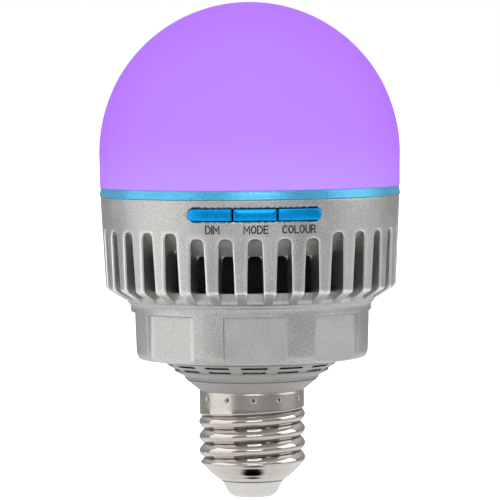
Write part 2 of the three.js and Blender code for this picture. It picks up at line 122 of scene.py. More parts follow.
@dataclass
class Shape:
    """A mesh in the making: quads added by their corners and welded at the end."""

    corners: list[Point] = field(default_factory=list)
    faces: list[tuple[int, ...]] = field(default_factory=list)

    def sheet(self, rows: Sequence[Sequence[Point]], wrap: bool = False) -> None:
        """Adds a grid of quads.

        Args:
            rows: rows of points, all of one length.
            wrap: joins each row's last point to its first.
        """
        width = len(rows[0])
        start = len(self.corners)
        for row in rows:
            self.corners.extend(row)
        for i in range(len(rows) - 1):
            for j in range(width if wrap else width - 1):
                k = (j + 1) % width
                a = start + i * width
                self.faces.append((a + j, a + k, a + width + k, a + width + j))

    def turn(self, profile: Profile, segments: int, closed: bool = True) -> None:
        """Turns a profile about the axis.

        Args:
            profile: radius and height of each point.
            segments: flat steps around.
            closed: joins the profile's last point to its first.
        """
        angles = [360 * i / segments for i in range(segments)]
        loop = profile + profile[:1] if closed else profile
        self.sheet([[place(a, 0, r, z) for a in angles] for r, z in loop], wrap=True)

    def piece(self, name: str, weld: float = 0.002) -> bpy.types.Object:
        """Welds the shape and puts it in the scene.

        Args:
            name: the piece's name.
            weld: corners closer than this become one.

        Returns:
            The new object, shaded smooth across its gentle edges.
        """
        mesh = bpy.data.meshes.new(name)
        mesh.from_pydata([tuple(MM * c for c in corner) for corner in self.corners], [], self.faces)
        work = bmesh.new()
        work.from_mesh(mesh)
        bmesh.ops.remove_doubles(work, verts=work.verts, dist=weld * MM)
        bmesh.ops.dissolve_degenerate(work, edges=work.edges, dist=weld * MM)
        loose = [vert for vert in work.verts if not vert.link_faces]
        bmesh.ops.delete(work, geom=loose, context="VERTS")
        bmesh.ops.recalc_face_normals(work, faces=work.faces)
        work.to_mesh(mesh)
        work.free()
        obj = bpy.data.objects.new(name, mesh)
        bpy.context.scene.collection.objects.link(obj)
        soften(obj)
        return obj


def soften(obj: bpy.types.Object) -> None:
    """Shades an object smooth, with its steep edges left sharp.

    Args:
        obj: the object.
    """
    mesh = obj.data
    mesh.polygons.foreach_set("use_smooth", [True] * len(mesh.polygons))
    mesh.set_sharp_from_angle(angle=math.radians(SMOOTH_DEG))
    if "weighted" not in obj.modifiers:
        weighted = obj.modifiers.new("weighted", "WEIGHTED_NORMAL")
        weighted.keep_sharp = True


def cut(obj: bpy.types.Object, cutter: Shape) -> None:
    """Cuts a shape out of an object and applies the cut.

    Args:
        obj: the object to cut.
        cutter: one or more closed shapes that don't touch.
    """
    tool = cutter.piece(f"{obj.name}_cutter")
    boolean = obj.modifiers.new("cut", "BOOLEAN")
    boolean.operation = "DIFFERENCE"
    boolean.solver = "EXACT"
    boolean.object = tool
    obj.modifiers.remove(obj.modifiers["weighted"])
    bpy.context.view_layer.update()
    graph = bpy.context.evaluated_depsgraph_get()
    result = bpy.data.meshes.new_from_object(obj.evaluated_get(graph))
    obj.modifiers.clear()
    obj.data = result
    bpy.data.objects.remove(tool)
    soften(obj)


# ---- Finishes ----------------------------------------------------------------------------------


def linear(hex_colour: str) -> tuple[float, float, float, float]:
    """Turns an sRGB hex colour to linear.

    Args:
        hex_colour: six hex digits, such as "b984ff".

    Returns:
        Linear red, green, blue and an alpha of 1.
    """
    parts = [int(hex_colour[i : i + 2], 16) / 255 for i in (0, 2, 4)]
    values = [c / 12.92 if c <= 0.04045 else ((c + 0.055) / 1.055) ** 2.4 for c in parts]
    return (*values, 1.0)


def add_node(
    tree: bpy.types.NodeTree,
    kind: str,
    settings: Optional[dict[str | int, object]] = None,
    links: Optional[dict[str | int, bpy.types.NodeSocket]] = None,
) -> bpy.types.Node:
    """Adds a node with its settings and links.

    Args:
        tree: the material's node tree.
        kind: the node's type.
        settings: input values by socket name, or properties by attribute name.
        links: the output that feeds each named input.

    Returns:
        The new node.
    """
    node = tree.nodes.new(kind)
    for key, value in (settings or {}).items():
        if isinstance(key, int) or key in node.inputs:
            node.inputs[key].default_value = value
        else:
            setattr(node, key, value)
    for key, source in (links or {}).items():
        tree.links.new(source, node.inputs[key])
    return node


@dataclass(frozen=True)
class Finish:
    """What every finish has: a name, a colour, a sheen and the size of its grain."""

    name: str
    colour: str
    roughness: float
    metallic: float = 0.0
    ior: float = 1.5
    grain: float = 0.4  # millimetres across one grain
    relief: float = 0.004  # millimetres from a grain's foot to its top
    mottle: float = 0.08  # how far the colour strays, as a share of itself
    stray: float = 0.05  # how far the roughness strays, up and down

    def surface(self, tree: bpy.types.NodeTree, shader: bpy.types.Node) -> None:
        """Adds what this finish has beyond its grain.

        Args:
            tree: the material's node tree.
            shader: its principled shader.
        """

    def material(self) -> bpy.types.Material:
        """Makes the material, or finds it if another piece has it already.

        Returns:
            The material.
        """
        made = bpy.data.materials.get(self.name)
        if made:
            return made
        made = bpy.data.materials.new(self.name)
        made.use_nodes = True
        tree = made.node_tree
        shader = tree.nodes["Principled BSDF"]
        shader.inputs["Metallic"].default_value = self.metallic
        if self.metallic < 1:
            shader.inputs["IOR"].default_value = self.ior
        where = add_node(tree, "ShaderNodeTexCoord").outputs["Object"]
        grains = 1 / (self.grain * MM)
        grain = add_node(
            tree, "ShaderNodeTexNoise", {"Scale": grains, "Detail": 2.0}, {"Vector": where}
        )
        cloud = add_node(
            tree, "ShaderNodeTexNoise", {"Scale": grains / CLOUD_GRAINS, "Detail": 3.0},
            {"Vector": where},
        )
        both = add_node(
            tree, "ShaderNodeMath", {"operation": "MULTIPLY_ADD", 1: CLOUD_SHARE},
            {0: cloud.outputs["Fac"], 2: grain.outputs["Fac"]},
        )
        colour = linear(self.colour)
        low = tuple(c * (1 - self.mottle) for c in colour[:3]) + (1.0,)
        high = tuple(min(1.0, c * (1 + self.mottle)) for c in colour[:3]) + (1.0,)
        share = add_node(
            tree, "ShaderNodeMapRange", {"From Min": 0.45, "From Max": 0.75},
            {"Value": both.outputs["Value"]},
        )
        mix = add_node(
            tree, "ShaderNodeMix", {"data_type": "RGBA", 6: low, 7: high},
            {0: share.outputs["Result"]},
        )
        tree.links.new(mix.outputs[2], shader.inputs["Base Color"])
        sheen = add_node(
            tree, "ShaderNodeMapRange",
            {"From Min": 0.3, "From Max": 0.7, "To Min": self.roughness - self.stray,
             "To Max": self.roughness + self.stray},
            {"Value": cloud.outputs["Fac"]},
        )
        tree.links.new(sheen.outputs["Result"], shader.inputs["Roughness"])
        bump = add_node(
            tree, "ShaderNodeBump", {"Strength": 1.0, "Distance": self.relief * MM},
            {"Height": grain.outputs["Fac"]},
        )
        tree.links.new(bump.outputs["Normal"], shader.inputs["Normal"])
        self.surface(tree, shader)
        return made

    def by_height(self, tree: bpy.types.NodeTree, first: float, last: float, start: float = 0.0,
                  end: float = 1.0, curve: str = "LINEAR") -> bpy.types.NodeSocket:
        """Makes a value that changes with the height above the contact.

        Args:
            tree: the material's node tree.
            first: height up to which the value is `start`.
            last: height from which it is `end`; it may be the lower of the two.
            start: the value on the first side.
            end: the value on the last side.
            curve: how it goes from one to the other.

        Returns:
            The value's socket.
        """
        where = add_node(tree, "ShaderNodeTexCoord").outputs["Object"]
        height = add_node(tree, "ShaderNodeSeparateXYZ", links={"Vector": where})
        value = add_node(
            tree, "ShaderNodeMapRange",
            {"interpolation_type": curve, "From Min": first * MM, "From Max": last * MM,
             "To Min": start, "To Max": end},
            {"Value": height.outputs["Z"]},
        )
        return value.outputs["Result"]

    def bent(self, tree: bpy.types.NodeTree, first: float, last: float) -> bpy.types.NodeSocket:
        """Makes a value that changes with how far the surface bends out or in.

        Args:
            tree: the material's node tree.
            first: pointiness at which the value is 0; a flat surface has 0.5.
            last: pointiness at which it is 1.

        Returns:
            The value's socket.
        """
        point = add_node(tree, "ShaderNodeNewGeometry").outputs["Pointiness"]
        value = add_node(
            tree, "ShaderNodeMapRange", {"From Min": first, "From Max": last}, {"Value": point}
        )
        return value.outputs["Result"]

    def dress(self, obj: bpy.types.Object) -> None:
        """Gives an object this finish."""
        obj.data.materials.clear()
        obj.data.materials.append(self.material())


@dataclass(frozen=True)
class OpalPolycarbonate(Finish):
    """Opal polycarbonate lit from inside: an even glow that pales towards the light engine."""

    low_glow: str = "c5a9fc"
    high_glow: str = "c096ff"
    tint: str = "f8e6fe"  # what the shell's thickness takes out, most of all at a glancing angle
    low_height: float = 76.0
    high_height: float = 93.0
    strength: float = 0.95
    specular: float = 0.05
    skin_roughness: float = 0.5  # the skin is the shell's outside, which carries the tint
    skin_ior: float = 1.08

    def surface(self, tree: bpy.types.NodeTree, shader: bpy.types.Node) -> None:
        """Adds the glow, which follows the height above the LED board.

        Args:
            tree: the material's node tree.
            shader: its principled shader.
        """
        share = self.by_height(tree, self.low_height, self.high_height, curve="SMOOTHSTEP")
        glow = add_node(
            tree, "ShaderNodeMix",
            {"data_type": "RGBA", 6: linear(self.low_glow), 7: linear(self.high_glow)}, {0: share},
        )
        tree.links.new(glow.outputs[2], shader.inputs["Emission Color"])
        shader.inputs["Emission Strength"].default_value = self.strength
        shader.inputs["Specular IOR Level"].default_value = self.specular
        shader.inputs["Coat Weight"].default_value = 1.0
        shader.inputs["Coat Roughness"].default_value = self.skin_roughness
        shader.inputs["Coat IOR"].default_value = self.skin_ior
        shader.inputs["Coat Tint"].default_value = linear(self.tint)


@dataclass(frozen=True)
class BlastedCasting(Finish):
    """A casting blasted with fine beads, with a painted highlight along its convex edges: a lighter
    colour and a lower roughness there.
    """

    # painted highlight: the lighter colour and lower roughness given to the convex edges
    edge: str = "f7f6f4"
    edge_roughness: float = 0.27
    highlight_from: float = 0.505  # pointiness
    highlight_to: float = 0.54
    faint_highlight_top: float = 50.5  # below this height the painted edge highlight is faint, so the neck's pads carry little of it
    full_highlight_foot: float = 51.9
    faint_highlight_share: float = 0.22
    highlight_top: float = 68.6
    window_foot: float = 69.6

    def surface(self, tree: bpy.types.NodeTree, shader: bpy.types.Node) -> None:
        """Adds a painted highlight along the convex edges, as a lighter colour and a lower roughness;
        it is faint on the neck and fades out at the foot of the band.

        Args:
            tree: the material's node tree.
            shader: its principled shader.
        """
        # painted highlight: a mask of convex edges, faint on the neck and gone on the band, that
        # lightens the colour
        highlight_and_polish = self.bent(tree, self.highlight_from, self.highlight_to)
        reaches = (
            self.by_height(tree, self.faint_highlight_top, self.full_highlight_foot, start=self.faint_highlight_share),
            self.by_height(tree, self.window_foot, self.highlight_top),
        )
        for reach in reaches:
            highlight_and_polish = add_node(
                tree, "ShaderNodeMath", {"operation": "MULTIPLY"}, {0: highlight_and_polish, 1: reach}
            ).outputs["Value"]
        own = shader.inputs["Base Color"].links[0].from_socket
        mix = add_node(
            tree, "ShaderNodeMix", {"data_type": "RGBA", 7: linear(self.edge)},
            {0: highlight_and_polish, 6: own},
        )
        tree.links.new(mix.outputs[2], shader.inputs["Base Color"])
        sheen = shader.inputs["Roughness"].links[0].from_socket
        smooth = add_node(
            tree, "ShaderNodeMix", {"data_type": "FLOAT", 3: self.edge_roughness},
            {0: highlight_and_polish, 2: sheen},
        )
        tree.links.new(smooth.outputs[0], shader.inputs["Roughness"])


@dataclass(frozen=True)
class TurnedMetal(Finish):
    """A metal turned on a lathe: fine rings around the axis."""

    ring_pitch: float = 0.25  # coarser than the real 0.05 mm feed, which wouldn't show
    ring_stray: float = 0.08  # how far the rings take the roughness up and down
    ring_waver: float = 40.0  # how often a ring changes across the axis, per metre

    def surface(self, tree: bpy.types.NodeTree, shader: bpy.types.Node) -> None:
        """Adds the turning marks to the roughness.

        Args:
            tree: the material's node tree.
            shader: its principled shader.
        """
        where = add_node(tree, "ShaderNodeTexCoord").outputs["Object"]
        stretch = add_node(
            tree, "ShaderNodeMapping",
            {"Scale": (self.ring_waver, self.ring_waver, 1 / (self.ring_pitch * MM))},
            {"Vector": where},
        )
        rings = add_node(
            tree, "ShaderNodeTexNoise", {"Scale": 1.0, "Detail": 1.0},
            {"Vector": stretch.outputs["Vector"]},
        )
        sheen = add_node(
            tree, "ShaderNodeMapRange",
            {"From Min": 0.3, "From Max": 0.7, "To Min": self.roughness - self.ring_stray,
             "To Max": self.roughness + self.ring_stray},
            {"Value": rings.outputs["Fac"]},
        )
        tree.links.new(sheen.outputs["Result"], shader.inputs["Roughness"])


@dataclass(frozen=True)
class RolledPlate(Finish):
    """Plated sheet with a rolled thread: burnished by the roller, satin where it didn't touch."""

    thread_top: float = 21.5
    band_foot: float = 23.0
    band_roughness: float = 0.3
    valley_shade: str = "5f5850"  # painted shade: the colour that darkens the thread's valleys
    valley_from: float = 0.492  # pointiness
    valley_to: float = 0.462

    def surface(self, tree: bpy.types.NodeTree, shader: bpy.types.Node) -> None:
        """Adds the change from burnished thread to satin band, and painted shade in the thread's
        valleys.

        Args:
            tree: the material's node tree.
            shader: its principled shader.
        """
        sheen = self.by_height(tree, self.thread_top, self.band_foot, self.roughness,
                               self.band_roughness)
        tree.links.new(sheen, shader.inputs["Roughness"])
        # painted shade: the thread's concave valleys go towards a dark grey
        valley = self.bent(tree, self.valley_from, self.valley_to)
        own = shader.inputs["Base Color"].links[0].from_socket
        mix = add_node(
            tree, "ShaderNodeMix", {"data_type": "RGBA", 7: linear(self.valley_shade)},
            {0: valley, 6: own},
        )
        tree.links.new(mix.outputs[2], shader.inputs["Base Color"])


# Opal polycarbonate, blown: the eye sees an even violet glow with hardly a highlight.
OPAL = OpalPolycarbonate("opal_polycarbonate", "3c2a5c", 0.55, ior=1.58, grain=0.5, relief=0.001)
# Blue anodised aluminium, turned: a satin metal that goes from deep to pale blue with the light.
BLUE_ANODISED = TurnedMetal("blue_anodised_aluminium", "4cadd4", 0.32, 0.55, ior=1.7, grain=0.3,
                            relief=0.012, mottle=0.22)
# ABS with a metallic blue lacquer, moulded: a saturated blue with a fine sparkle and soft edges.
BLUE_LACQUER = Finish("blue_lacquered_abs", "0098e2", 0.27, 0.7, ior=1.35, grain=0.25, relief=0.008,
                      mottle=0.2)
# Die-cast aluminium, bead-blasted: a warm mid grey with a sandy grain, no clear reflection and a
# painted highlight along its convex edges.
DIE_CAST = BlastedCasting("die_cast_aluminium", "cbc9c7", 0.46, 1.0, grain=0.28, relief=0.035,
                          mottle=0.19)
# Stamped aluminium sheet, as rolled.
ALUMINIUM_SHEET = Finish("stamped_aluminium", "d0d2d3", 0.35, 1.0, grain=0.6, relief=0.002)
# Nickel-plated brass, rolled: a warm bright metal that mirrors the light and dark around it.
NICKEL = RolledPlate("nickel_plated_brass", "cfc9c2", 0.1, 1.0, grain=1.5, relief=0.0004,
                     mottle=0.03)
# Polycarbonate filled with grey, moulded with a fine spark-eroded texture.
GREY_PC = Finish("grey_moulded_polycarbonate", "7c7b79", 0.42, 0.0, 1.58, grain=0.3, relief=0.004)
# Urea moulding compound: a slightly see-through white with a soft sheen.
UREA = Finish("white_urea_moulding", "b4b3b1", 0.3, 0.0, 1.55, grain=0.6, relief=0.002, mottle=0.03)
# Glass-filled nylon, black: takes in nearly all of the light that comes through the slots.
BLACK_NYLON = Finish("black_glass_filled_nylon", "050505", 0.8, 0.0, 1.53, relief=0.006)
# PBT, white, moulded: the sleeve behind the vents and the small plungers.
WHITE_PBT = Finish("white_moulded_pbt", "e9e9e6", 0.45, 0.0, 1.55, relief=0.002, mottle=0.03)
# Screen-printed ink, dark grey and matt.
INK = Finish("printed_dark_ink", "2f2e2d", 0.7, 0.0, 1.45, grain=0.15, relief=0.002, mottle=0.2)
# FR4 laminate under green solder mask.
GREEN_MASK = Finish("green_solder_mask", "1d6b3a", 0.4, 0.0, 1.5, grain=0.8, relief=0.003)
# Aluminium-core board under white solder mask.
WHITE_MASK = Finish("white_solder_mask", "f0f0ec", 0.45, 0.0, 1.5, grain=0.8, mottle=0.02)
# Phosphor in clear silicone: the yellow cap of a white emitter.
PHOSPHOR = Finish("phosphor_silicone", "f2d46a", 0.4, 0.0, 1.41, grain=0.1)
# Zinc-plated steel, cold-headed.
ZINC_STEEL = TurnedMetal("zinc_plated_steel", "b8bbbf", 0.3, 1.0)
# Sintered ferrite with enamelled windings, drawn as one dark body.
FERRITE = Finish("sintered_ferrite", "2b2b2e", 0.7, 0.0, 2.0, grain=0.3, relief=0.01)
# PVC shrink wrap over a cell.
SHRINK_WRAP = Finish("pvc_shrink_wrap", "2f6fae", 0.35, 0.0, 1.54, grain=1.0, relief=0.01)
# PVC wire insulation, extruded.
RED_PVC = Finish("red_pvc_insulation", "b3261e", 0.45, 0.0, 1.54)
BLACK_PVC = Finish("black_pvc_insulation", "161616", 0.45, 0.0, 1.54)
WHITE_PVC = Finish("white_pvc_insulation", "e6e6e2", 0.45, 0.0, 1.54)
# Silicone rubber, moulded: matt and pale.
SILICONE = Finish("silicone_rubber", "e2e2e2", 0.75, 0.0, 1.41, relief=0.006)

SLOT_FINISHES: dict[str, Finish] = {
    "opal_dome": OPAL, "blue_ring": BLUE_ANODISED, "blue_key": BLUE_LACQUER,
    "cast_aluminium": DIE_CAST, "plate_aluminium": ALUMINIUM_SHEET, "nickel": NICKEL,
    "grey_plastic": GREY_PC, "black_plastic": BLACK_NYLON, "white_plastic": WHITE_PBT,
    "silicone": SILICONE, "circuit_board": GREEN_MASK, "led_board_white": WHITE_MASK,
    "led_phosphor": PHOSPHOR, "steel": ZINC_STEEL, "ferrite": FERRITE, "cell_wrap": SHRINK_WRAP,
    "wire_red": RED_PVC, "wire_black": BLACK_PVC, "wire_white": WHITE_PVC,
}


def finished(obj: bpy.types.Object, finish: Finish, slot: str, body: str, *nodes: str) -> None:
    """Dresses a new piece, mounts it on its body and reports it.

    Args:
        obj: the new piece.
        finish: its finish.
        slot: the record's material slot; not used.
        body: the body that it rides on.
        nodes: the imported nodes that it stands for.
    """
    finish.dress(obj)
    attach(obj, body)
    if nodes:
        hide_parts(*nodes)
    LOG.info("%s: %d faces, %s", obj.name, len(obj.data.polygons), finish.name)


# ---- Screw base --------------------------------------------------------------------------------


@dataclass
class ScrewBase:
    """The nickel screw shell with its rolled thread, the white insulator and the contact."""

    crest: float = 13.3
    root: float = 12.1
    pitch: float = 3.63
    crest_front: float = 19.8  # height of a crest at the front
    crest_power: float = 0.55  # below 1 gives a full crest and a narrow valley
    run_out: float = 0.9  # height over which the thread fades into the band
    seam: float = 140.0  # degrees from the front beyond which the start comes back to level
    thread_top: float = 21.9
    band: float = 13.1
    top: float = 26.8
    wall: float = 0.4
    dimples: int = 12
    dimple_height: float = 25.05
    dimple_depth: float = 0.45
    dimple_radius: float = 0.45
    segments: int = 192

    def taper(self, z: float) -> float:
        """Gives the shell's radius below the thread.

        Args:
            z: height above the contact.

        Returns:
            The radius.
        """
        heights = (4.2, 4.7, 5.2, 5.7, 6.2, 7.2, 8.0, 8.9, 9.6)
        radii = (7.9, 8.7, 9.4, 9.9, 10.5, 11.4, 12.2, 13.3, 14.2)
        return float(np.interp(z, heights, radii))

    def radius(self, z: float, turn: float) -> float:
        """Gives the shell's outer radius.

        Args:
            z: height above the contact.
            turn: angle from the front.

        Returns:
            The radius, with thread and dimples.
        """
        phase = (z - self.crest_front) / self.pitch - turn / 360
        wave = 0.5 + 0.5 * math.cos(2 * math.pi * phase)
        thread = self.root + (self.crest - self.root) * wave**self.crest_power
        front = (turn + 180) % 360 - 180
        back = (180 - abs(front)) * (self.seam / (180 - self.seam))
        lead = front if abs(front) < self.seam else math.copysign(back, front)
        start = self.thread_top + self.pitch * lead / 360
        blend = float(np.clip((start - z) / self.run_out, 0, 1))
        blend = blend * blend * (3 - 2 * blend)
        body = self.band + (thread - self.band) * blend
        taper = self.taper(z)
        ease = max(0.0, 0.5 - abs(body - taper)) ** 2 / 2
        return min(body, taper) - ease - self.dimple(z, turn)

    def dimple(self, z: float, turn: float) -> float:
        """Gives the depth of a punch mark at a point.

        Args:
            z: height above the contact.
            turn: angle from the front.

        Returns:
            The depth, next to nothing away from the marks.
        """
        step = 360 / self.dimples
        aside = math.radians((turn + step / 2) % step - step / 2) * self.band
        away = math.hypot(aside, z - self.dimple_height)
        return self.dimple_depth * math.exp(-((away / self.dimple_radius) ** 6))

    def angles(self) -> list[float]:
        """Spaces the shell's columns, closer together at the punch marks.

        Returns:
            The angle of each column from the front.
        """
        per_mark = self.segments // self.dimples
        step = 360 / self.dimples
        places = []
        for mark in range(self.dimples):
            for i in range(per_mark):
                t = (i + 0.5) / per_mark * 2 - 1
                places.append(step * (mark + 0.5 * (0.35 * t + 0.65 * t**3)))
        return places

    def heights(self) -> list[float]:
        """Spaces the shell's rows, closer together at the punch marks.

        Returns:
            The height of each row.
        """
        low = list(np.arange(4.2, 7.2, 0.25))
        thread = list(np.arange(7.2, 22.6, 0.165))
        marks = list(np.arange(23.6, 26.0, 0.12))
        return low + thread + [22.8, 23.2] + marks + [26.2, 26.5, self.top]

    def build(self) -> None:
        """Makes the shell, the insulator and the contact."""
        outer = []
        inner = []
        angles = self.angles()
        for z in self.heights():
            lip = 0.12 * float(np.clip((z - self.top + 0.25) / 0.25, 0, 1)) ** 2
            outer.append([place(a, 0, self.radius(z, a) - lip, z) for a in angles])
            inner.append([place(a, 0, self.radius(z, a) - self.wall, z) for a in angles])
        shell = Shape()
        shell.sheet(outer + inner[::-1] + outer[:1], wrap=True)
        finished(shell.piece("screw_shell_rolled"), NICKEL, "nickel", BULB, "screw_shell")
        tip = Shape()
        tip.turn(rounded([
            (3.5, 0.08, 0.1), (4.9, 0.08, 0.6), (6.05, 1.0, 0.8), (6.95, 2.8, 1.0), (7.85, 4.1, 0.15),
            (6.9, 4.1), (6.9, 8.0), (1.5, 8.0), (1.5, 0.62), (3.5, 0.62),
        ]), 128)
        finished(tip.piece("tip_insulator_moulded"), UREA, "white_plastic", BULB, "tip_insulator")
        contact = Shape()
        contact.turn([
            (0.0, 0.0), (2.6, 0.0), (3.0, 0.06), (3.2, 0.22), (3.2, 0.6), (1.2, 0.6), (1.2, 9.0),
            (0.0, 9.0),
        ], 96, closed=False)
        finished(contact.piece("centre_contact_pressed"), NICKEL, "nickel", BULB, "centre_contact")


@dataclass
class BaseCollar:
    """The grey collar that carries the shell, with two rows of vents in its upper cone."""

    vents: int = 14
    rows: tuple[tuple[float, float, float, float, float], ...] = (
        (3.25, 33.32, 33.84, 18.6, 24.0),
        (2.9, 32.16, 32.68, 17.75, 22.0),
    )  # half width, low and high edge, near and far reach of each row's vents
    segments: int = 168

    def profile(self) -> Profile:
        """Gives the collar's section, from the wire passage up its outer side.

        Returns:
            Radius and height of each point.
        """
        return rounded([
            (10.0, 18.5), (11.3, 18.5), (11.3, 22.4), (12.2, 22.4), (12.2, 26.82), (13.0, 26.82, 0.1),
            (16.45, 29.6, 0.15), (16.1, 29.75, 0.05), (16.8, 29.95, 0.12), (16.85, 30.5, 0.2),
            (19.0, 31.55, 0.3), (19.35, 31.85, 0.15), (19.3, 32.25, 0.12), (22.3, 34.2, 0.1),
            (22.3, 34.38), (20.3, 34.38), (20.3, 38.0), (19.4, 38.0), (19.4, 34.3), (20.0, 33.9),
            (20.2, 33.6), (18.1, 32.25), (17.3, 31.8), (10.9, 27.2), (10.0, 26.2),
        ], steps=3)

    def vent_cutter(self) -> Shape:
        """Makes the boxes that cut the vents.

        Returns:
            The boxes, one for each vent.
        """
        cutter = Shape()
        for half, low, high, near, far in self.rows:
            for i in range(self.vents):
                turn = 360 * i / self.vents
                ends = [
                    [place(turn, side, out, z) for side, z in
                     ((-half, low), (half, low), (half, high), (-half, high))]
                    for out in (near, far)
                ]
                start = len(cutter.corners)
                cutter.sheet(ends, wrap=True)
                cutter.faces.append((start + 3, start + 2, start + 1, start))
                cutter.faces.append((start + 4, start + 5, start + 6, start + 7))
        return cutter

    def build(self) -> None:
        """Makes the collar and cuts its vents."""
        body = Shape()
        body.turn(self.profile(), self.segments)
        collar = body.piece("base_collar_moulded")
        cut(collar, self.vent_cutter())
        finished(collar, GREY_PC, "grey_plastic", BULB, "base_collar")
        sleeve = Shape()
        sleeve.turn(rounded([
            (14.2, 31.2), (15.9, 31.2, 0.2), (17.5, 32.15, 0.2), (18.6, 32.9, 0.1), (18.4, 33.15, 0.1),
            (15.4, 32.6, 0.3), (15.4, 38.4, 0.2), (14.2, 38.4),
        ], steps=3), 96)
        finished(sleeve.piece("insulating_sleeve_moulded"), WHITE_PBT, "white_plastic", BULB,
                 "insulating_sleeve")


# ---- Die-cast body -----------------------------------------------------------------------------


@dataclass
class HeatSink:
    """The die-cast body: plain band, fins with slots between them, shoulder, and neck with pads."""

    fins: int = 32
    wall_foot: float = 36.35  # the outer wall's radius 54 mm up, and its gain in each millimetre
    wall_draft: float = 1.05 / 21.6
    bend: float = 1.35  # radius of the bend from the wall to the shoulder
    bend_centre: float = 53.53
    bend_foot: float = 52.45
    shoulder_slope: float = 0.5957
    slot_root: float = 31.9
    inner_root: float = 30.4
    slot_top: float = 67.3
    front_drop: float = 1.3
    corner: float = 1.25
    lip: float = 0.56
    through_low: float = 52.7
    through_drop: float = 4.25  # from a slot's top to the top of its way through
    arch: float = 1.0  # corner radius at the top of the way through
    band_foot: float = 68.6
    top: float = 75.6
    pads: int = 8
    pad_plane: float = 28.3
    pad_top: float = 46.9
    pad_ramp_height: float = 0.36
    pad_half: float = 15.02  # degrees from a pad's middle to its edge, and across the edge's ramp
    pad_ramp: float = 0.34
    window: tuple[float, float] = (70.36, 73.64)
    window_end: float = 25.85  # degrees from the front
    window_corner: float = 1.25
    window_face: float = 37.35  # the radius at which the window's length is measured
    leg_heights: tuple[float, ...] = (
        50.35, 50.7, 51.2, 51.8, 52.3, 52.7, 53.1, 53.55, 54.2, 56.0, 58.0, 60.0, 61.75, 63.05, 64.2,
    )

    def outside(self, z: float) -> float:
        """Gives the body's outer radius above the collar, apart from slots.

        Args:
            z: height above the contact.

        Returns:
            The radius.
        """
        if z >= self.bend_centre:
            return self.wall_foot + (z - 54.0) * self.wall_draft
        if z >= self.bend_foot:
            drop = self.bend_centre - z
            return self.wall_foot - self.bend + math.sqrt(max(0.0, self.bend**2 - drop**2))
        return 30.7 + (z - 49.4) / self.shoulder_slope

    def slot_half(self, z: float) -> float:
        """Gives half of a slot's width at a height."""
        return float(np.interp(z, (50, 55, 59, 63, 66), (1.98, 1.88, 1.8, 1.64, 1.58)))

    def slot_floor(self, z: float, top: float) -> float:
        """Gives how far from the axis a slot's floor or ceiling is.

        Args:
            z: height above the contact.
            top: height of the slot's top.

        Returns:
            The distance along the slot's own direction.
        """
        high = top - self.through_drop
        if z <= high:
            return self.slot_root
        share = (z - high) / self.through_drop
        mouth = self.outside(top) - self.lip - 0.12
        return self.slot_root + (mouth - self.slot_root) * share

    def outline(self, top: float) -> list[tuple[float, float, float, float]]:
        """Walks a slot's edge from its foot on the left, over the top and down the right.

        Args:
            top: height of the slot's top.

        Returns:
            Sideways place, height and outward direction of each point on the edge.
        """
        centre = top - self.corner
        flat = self.slot_half(centre) - self.corner
        left = [(-self.slot_half(z), z, -1.0, 0.0) for z in self.leg_heights]
        for step in range(5):
            angle = math.pi - step * math.pi / 8
            bend = (math.cos(angle), math.sin(angle))
            left.append((-flat + self.corner * bend[0], centre + self.corner * bend[1], *bend))
        return left + [(-u, z, -nu, nz) for u, z, nu, nz in reversed(left)]

    def border(self) -> list[tuple[float, float]]:
        """Walks a slot's share of the body, beside each point of its outline.

        Returns:
            Angle from the slot's middle and height of each point.
        """
        half = 180 / self.fins
        left = [(-half, z) for z in self.leg_heights]
        left += [(-half, 66.05), (-half, 67.3), (-half, self.band_foot)]
        left += [(-0.55 * half, self.band_foot), (-0.12 * half, self.band_foot)]
        return left + [(-turn, z) for turn, z in reversed(left)]

    def add_slot(self, shape: Shape, turn: float, top: float) -> list[Point]:
        """Adds one slot and the surface around it.

        Args:
            shape: the shape to add to.
            turn: the slot's angle from the front.
            top: height of its top.

        Returns:
            The points across its foot, for the shoulder to join.
        """
        rows = []
        feet = []
        for (u, z, nu, nz), (side, edge_z) in zip(self.outline(top), self.border()):
            edge_r = self.outside(edge_z)
            edge_u = edge_r * math.sin(math.radians(side))
            lip_u, lip_z = u + self.lip * nu, z + self.lip * nz
            row = []
            for share in (0.0, 0.55, 1.0):
                across = edge_u + (lip_u - edge_u) * share
                height = edge_z + (lip_z - edge_z) * share
                out = math.sqrt(self.outside(height) ** 2 - across**2)
                row.append(place(turn, across, out, height))
            for bend in (60, 30, 0):
                off = self.lip * (1 - math.cos(math.radians(bend)))
                drop = self.lip * (1 - math.sin(math.radians(bend)))
                back = self.lip - self.lip * math.sin(math.radians(90 - bend))
                across, height = u + nu * back, z + nz * back
                out = math.sqrt(self.outside(height) ** 2 - across**2) - drop
                row.append(place(turn, across, out, height))
            floor = self.slot_floor(z, top)
            foot = place(turn, u, min(floor, self.outside(z) - self.lip - 0.05), z)
            row.append(foot)
            feet.append(foot)
            rows.append(row)
        shape.sheet(rows)
        count = len(feet)
        legs = len(self.leg_heights)
        for i in range(count // 2 - 1):
            low = self.leg_heights[i] if i < legs else top
            if self.through_low <= low < top - self.through_drop - 0.01:
                continue
            shape.sheet([[feet[i], feet[count - 1 - i]], [feet[i + 1], feet[count - 2 - i]]])
        return rows[0] + rows[-1][::-1]

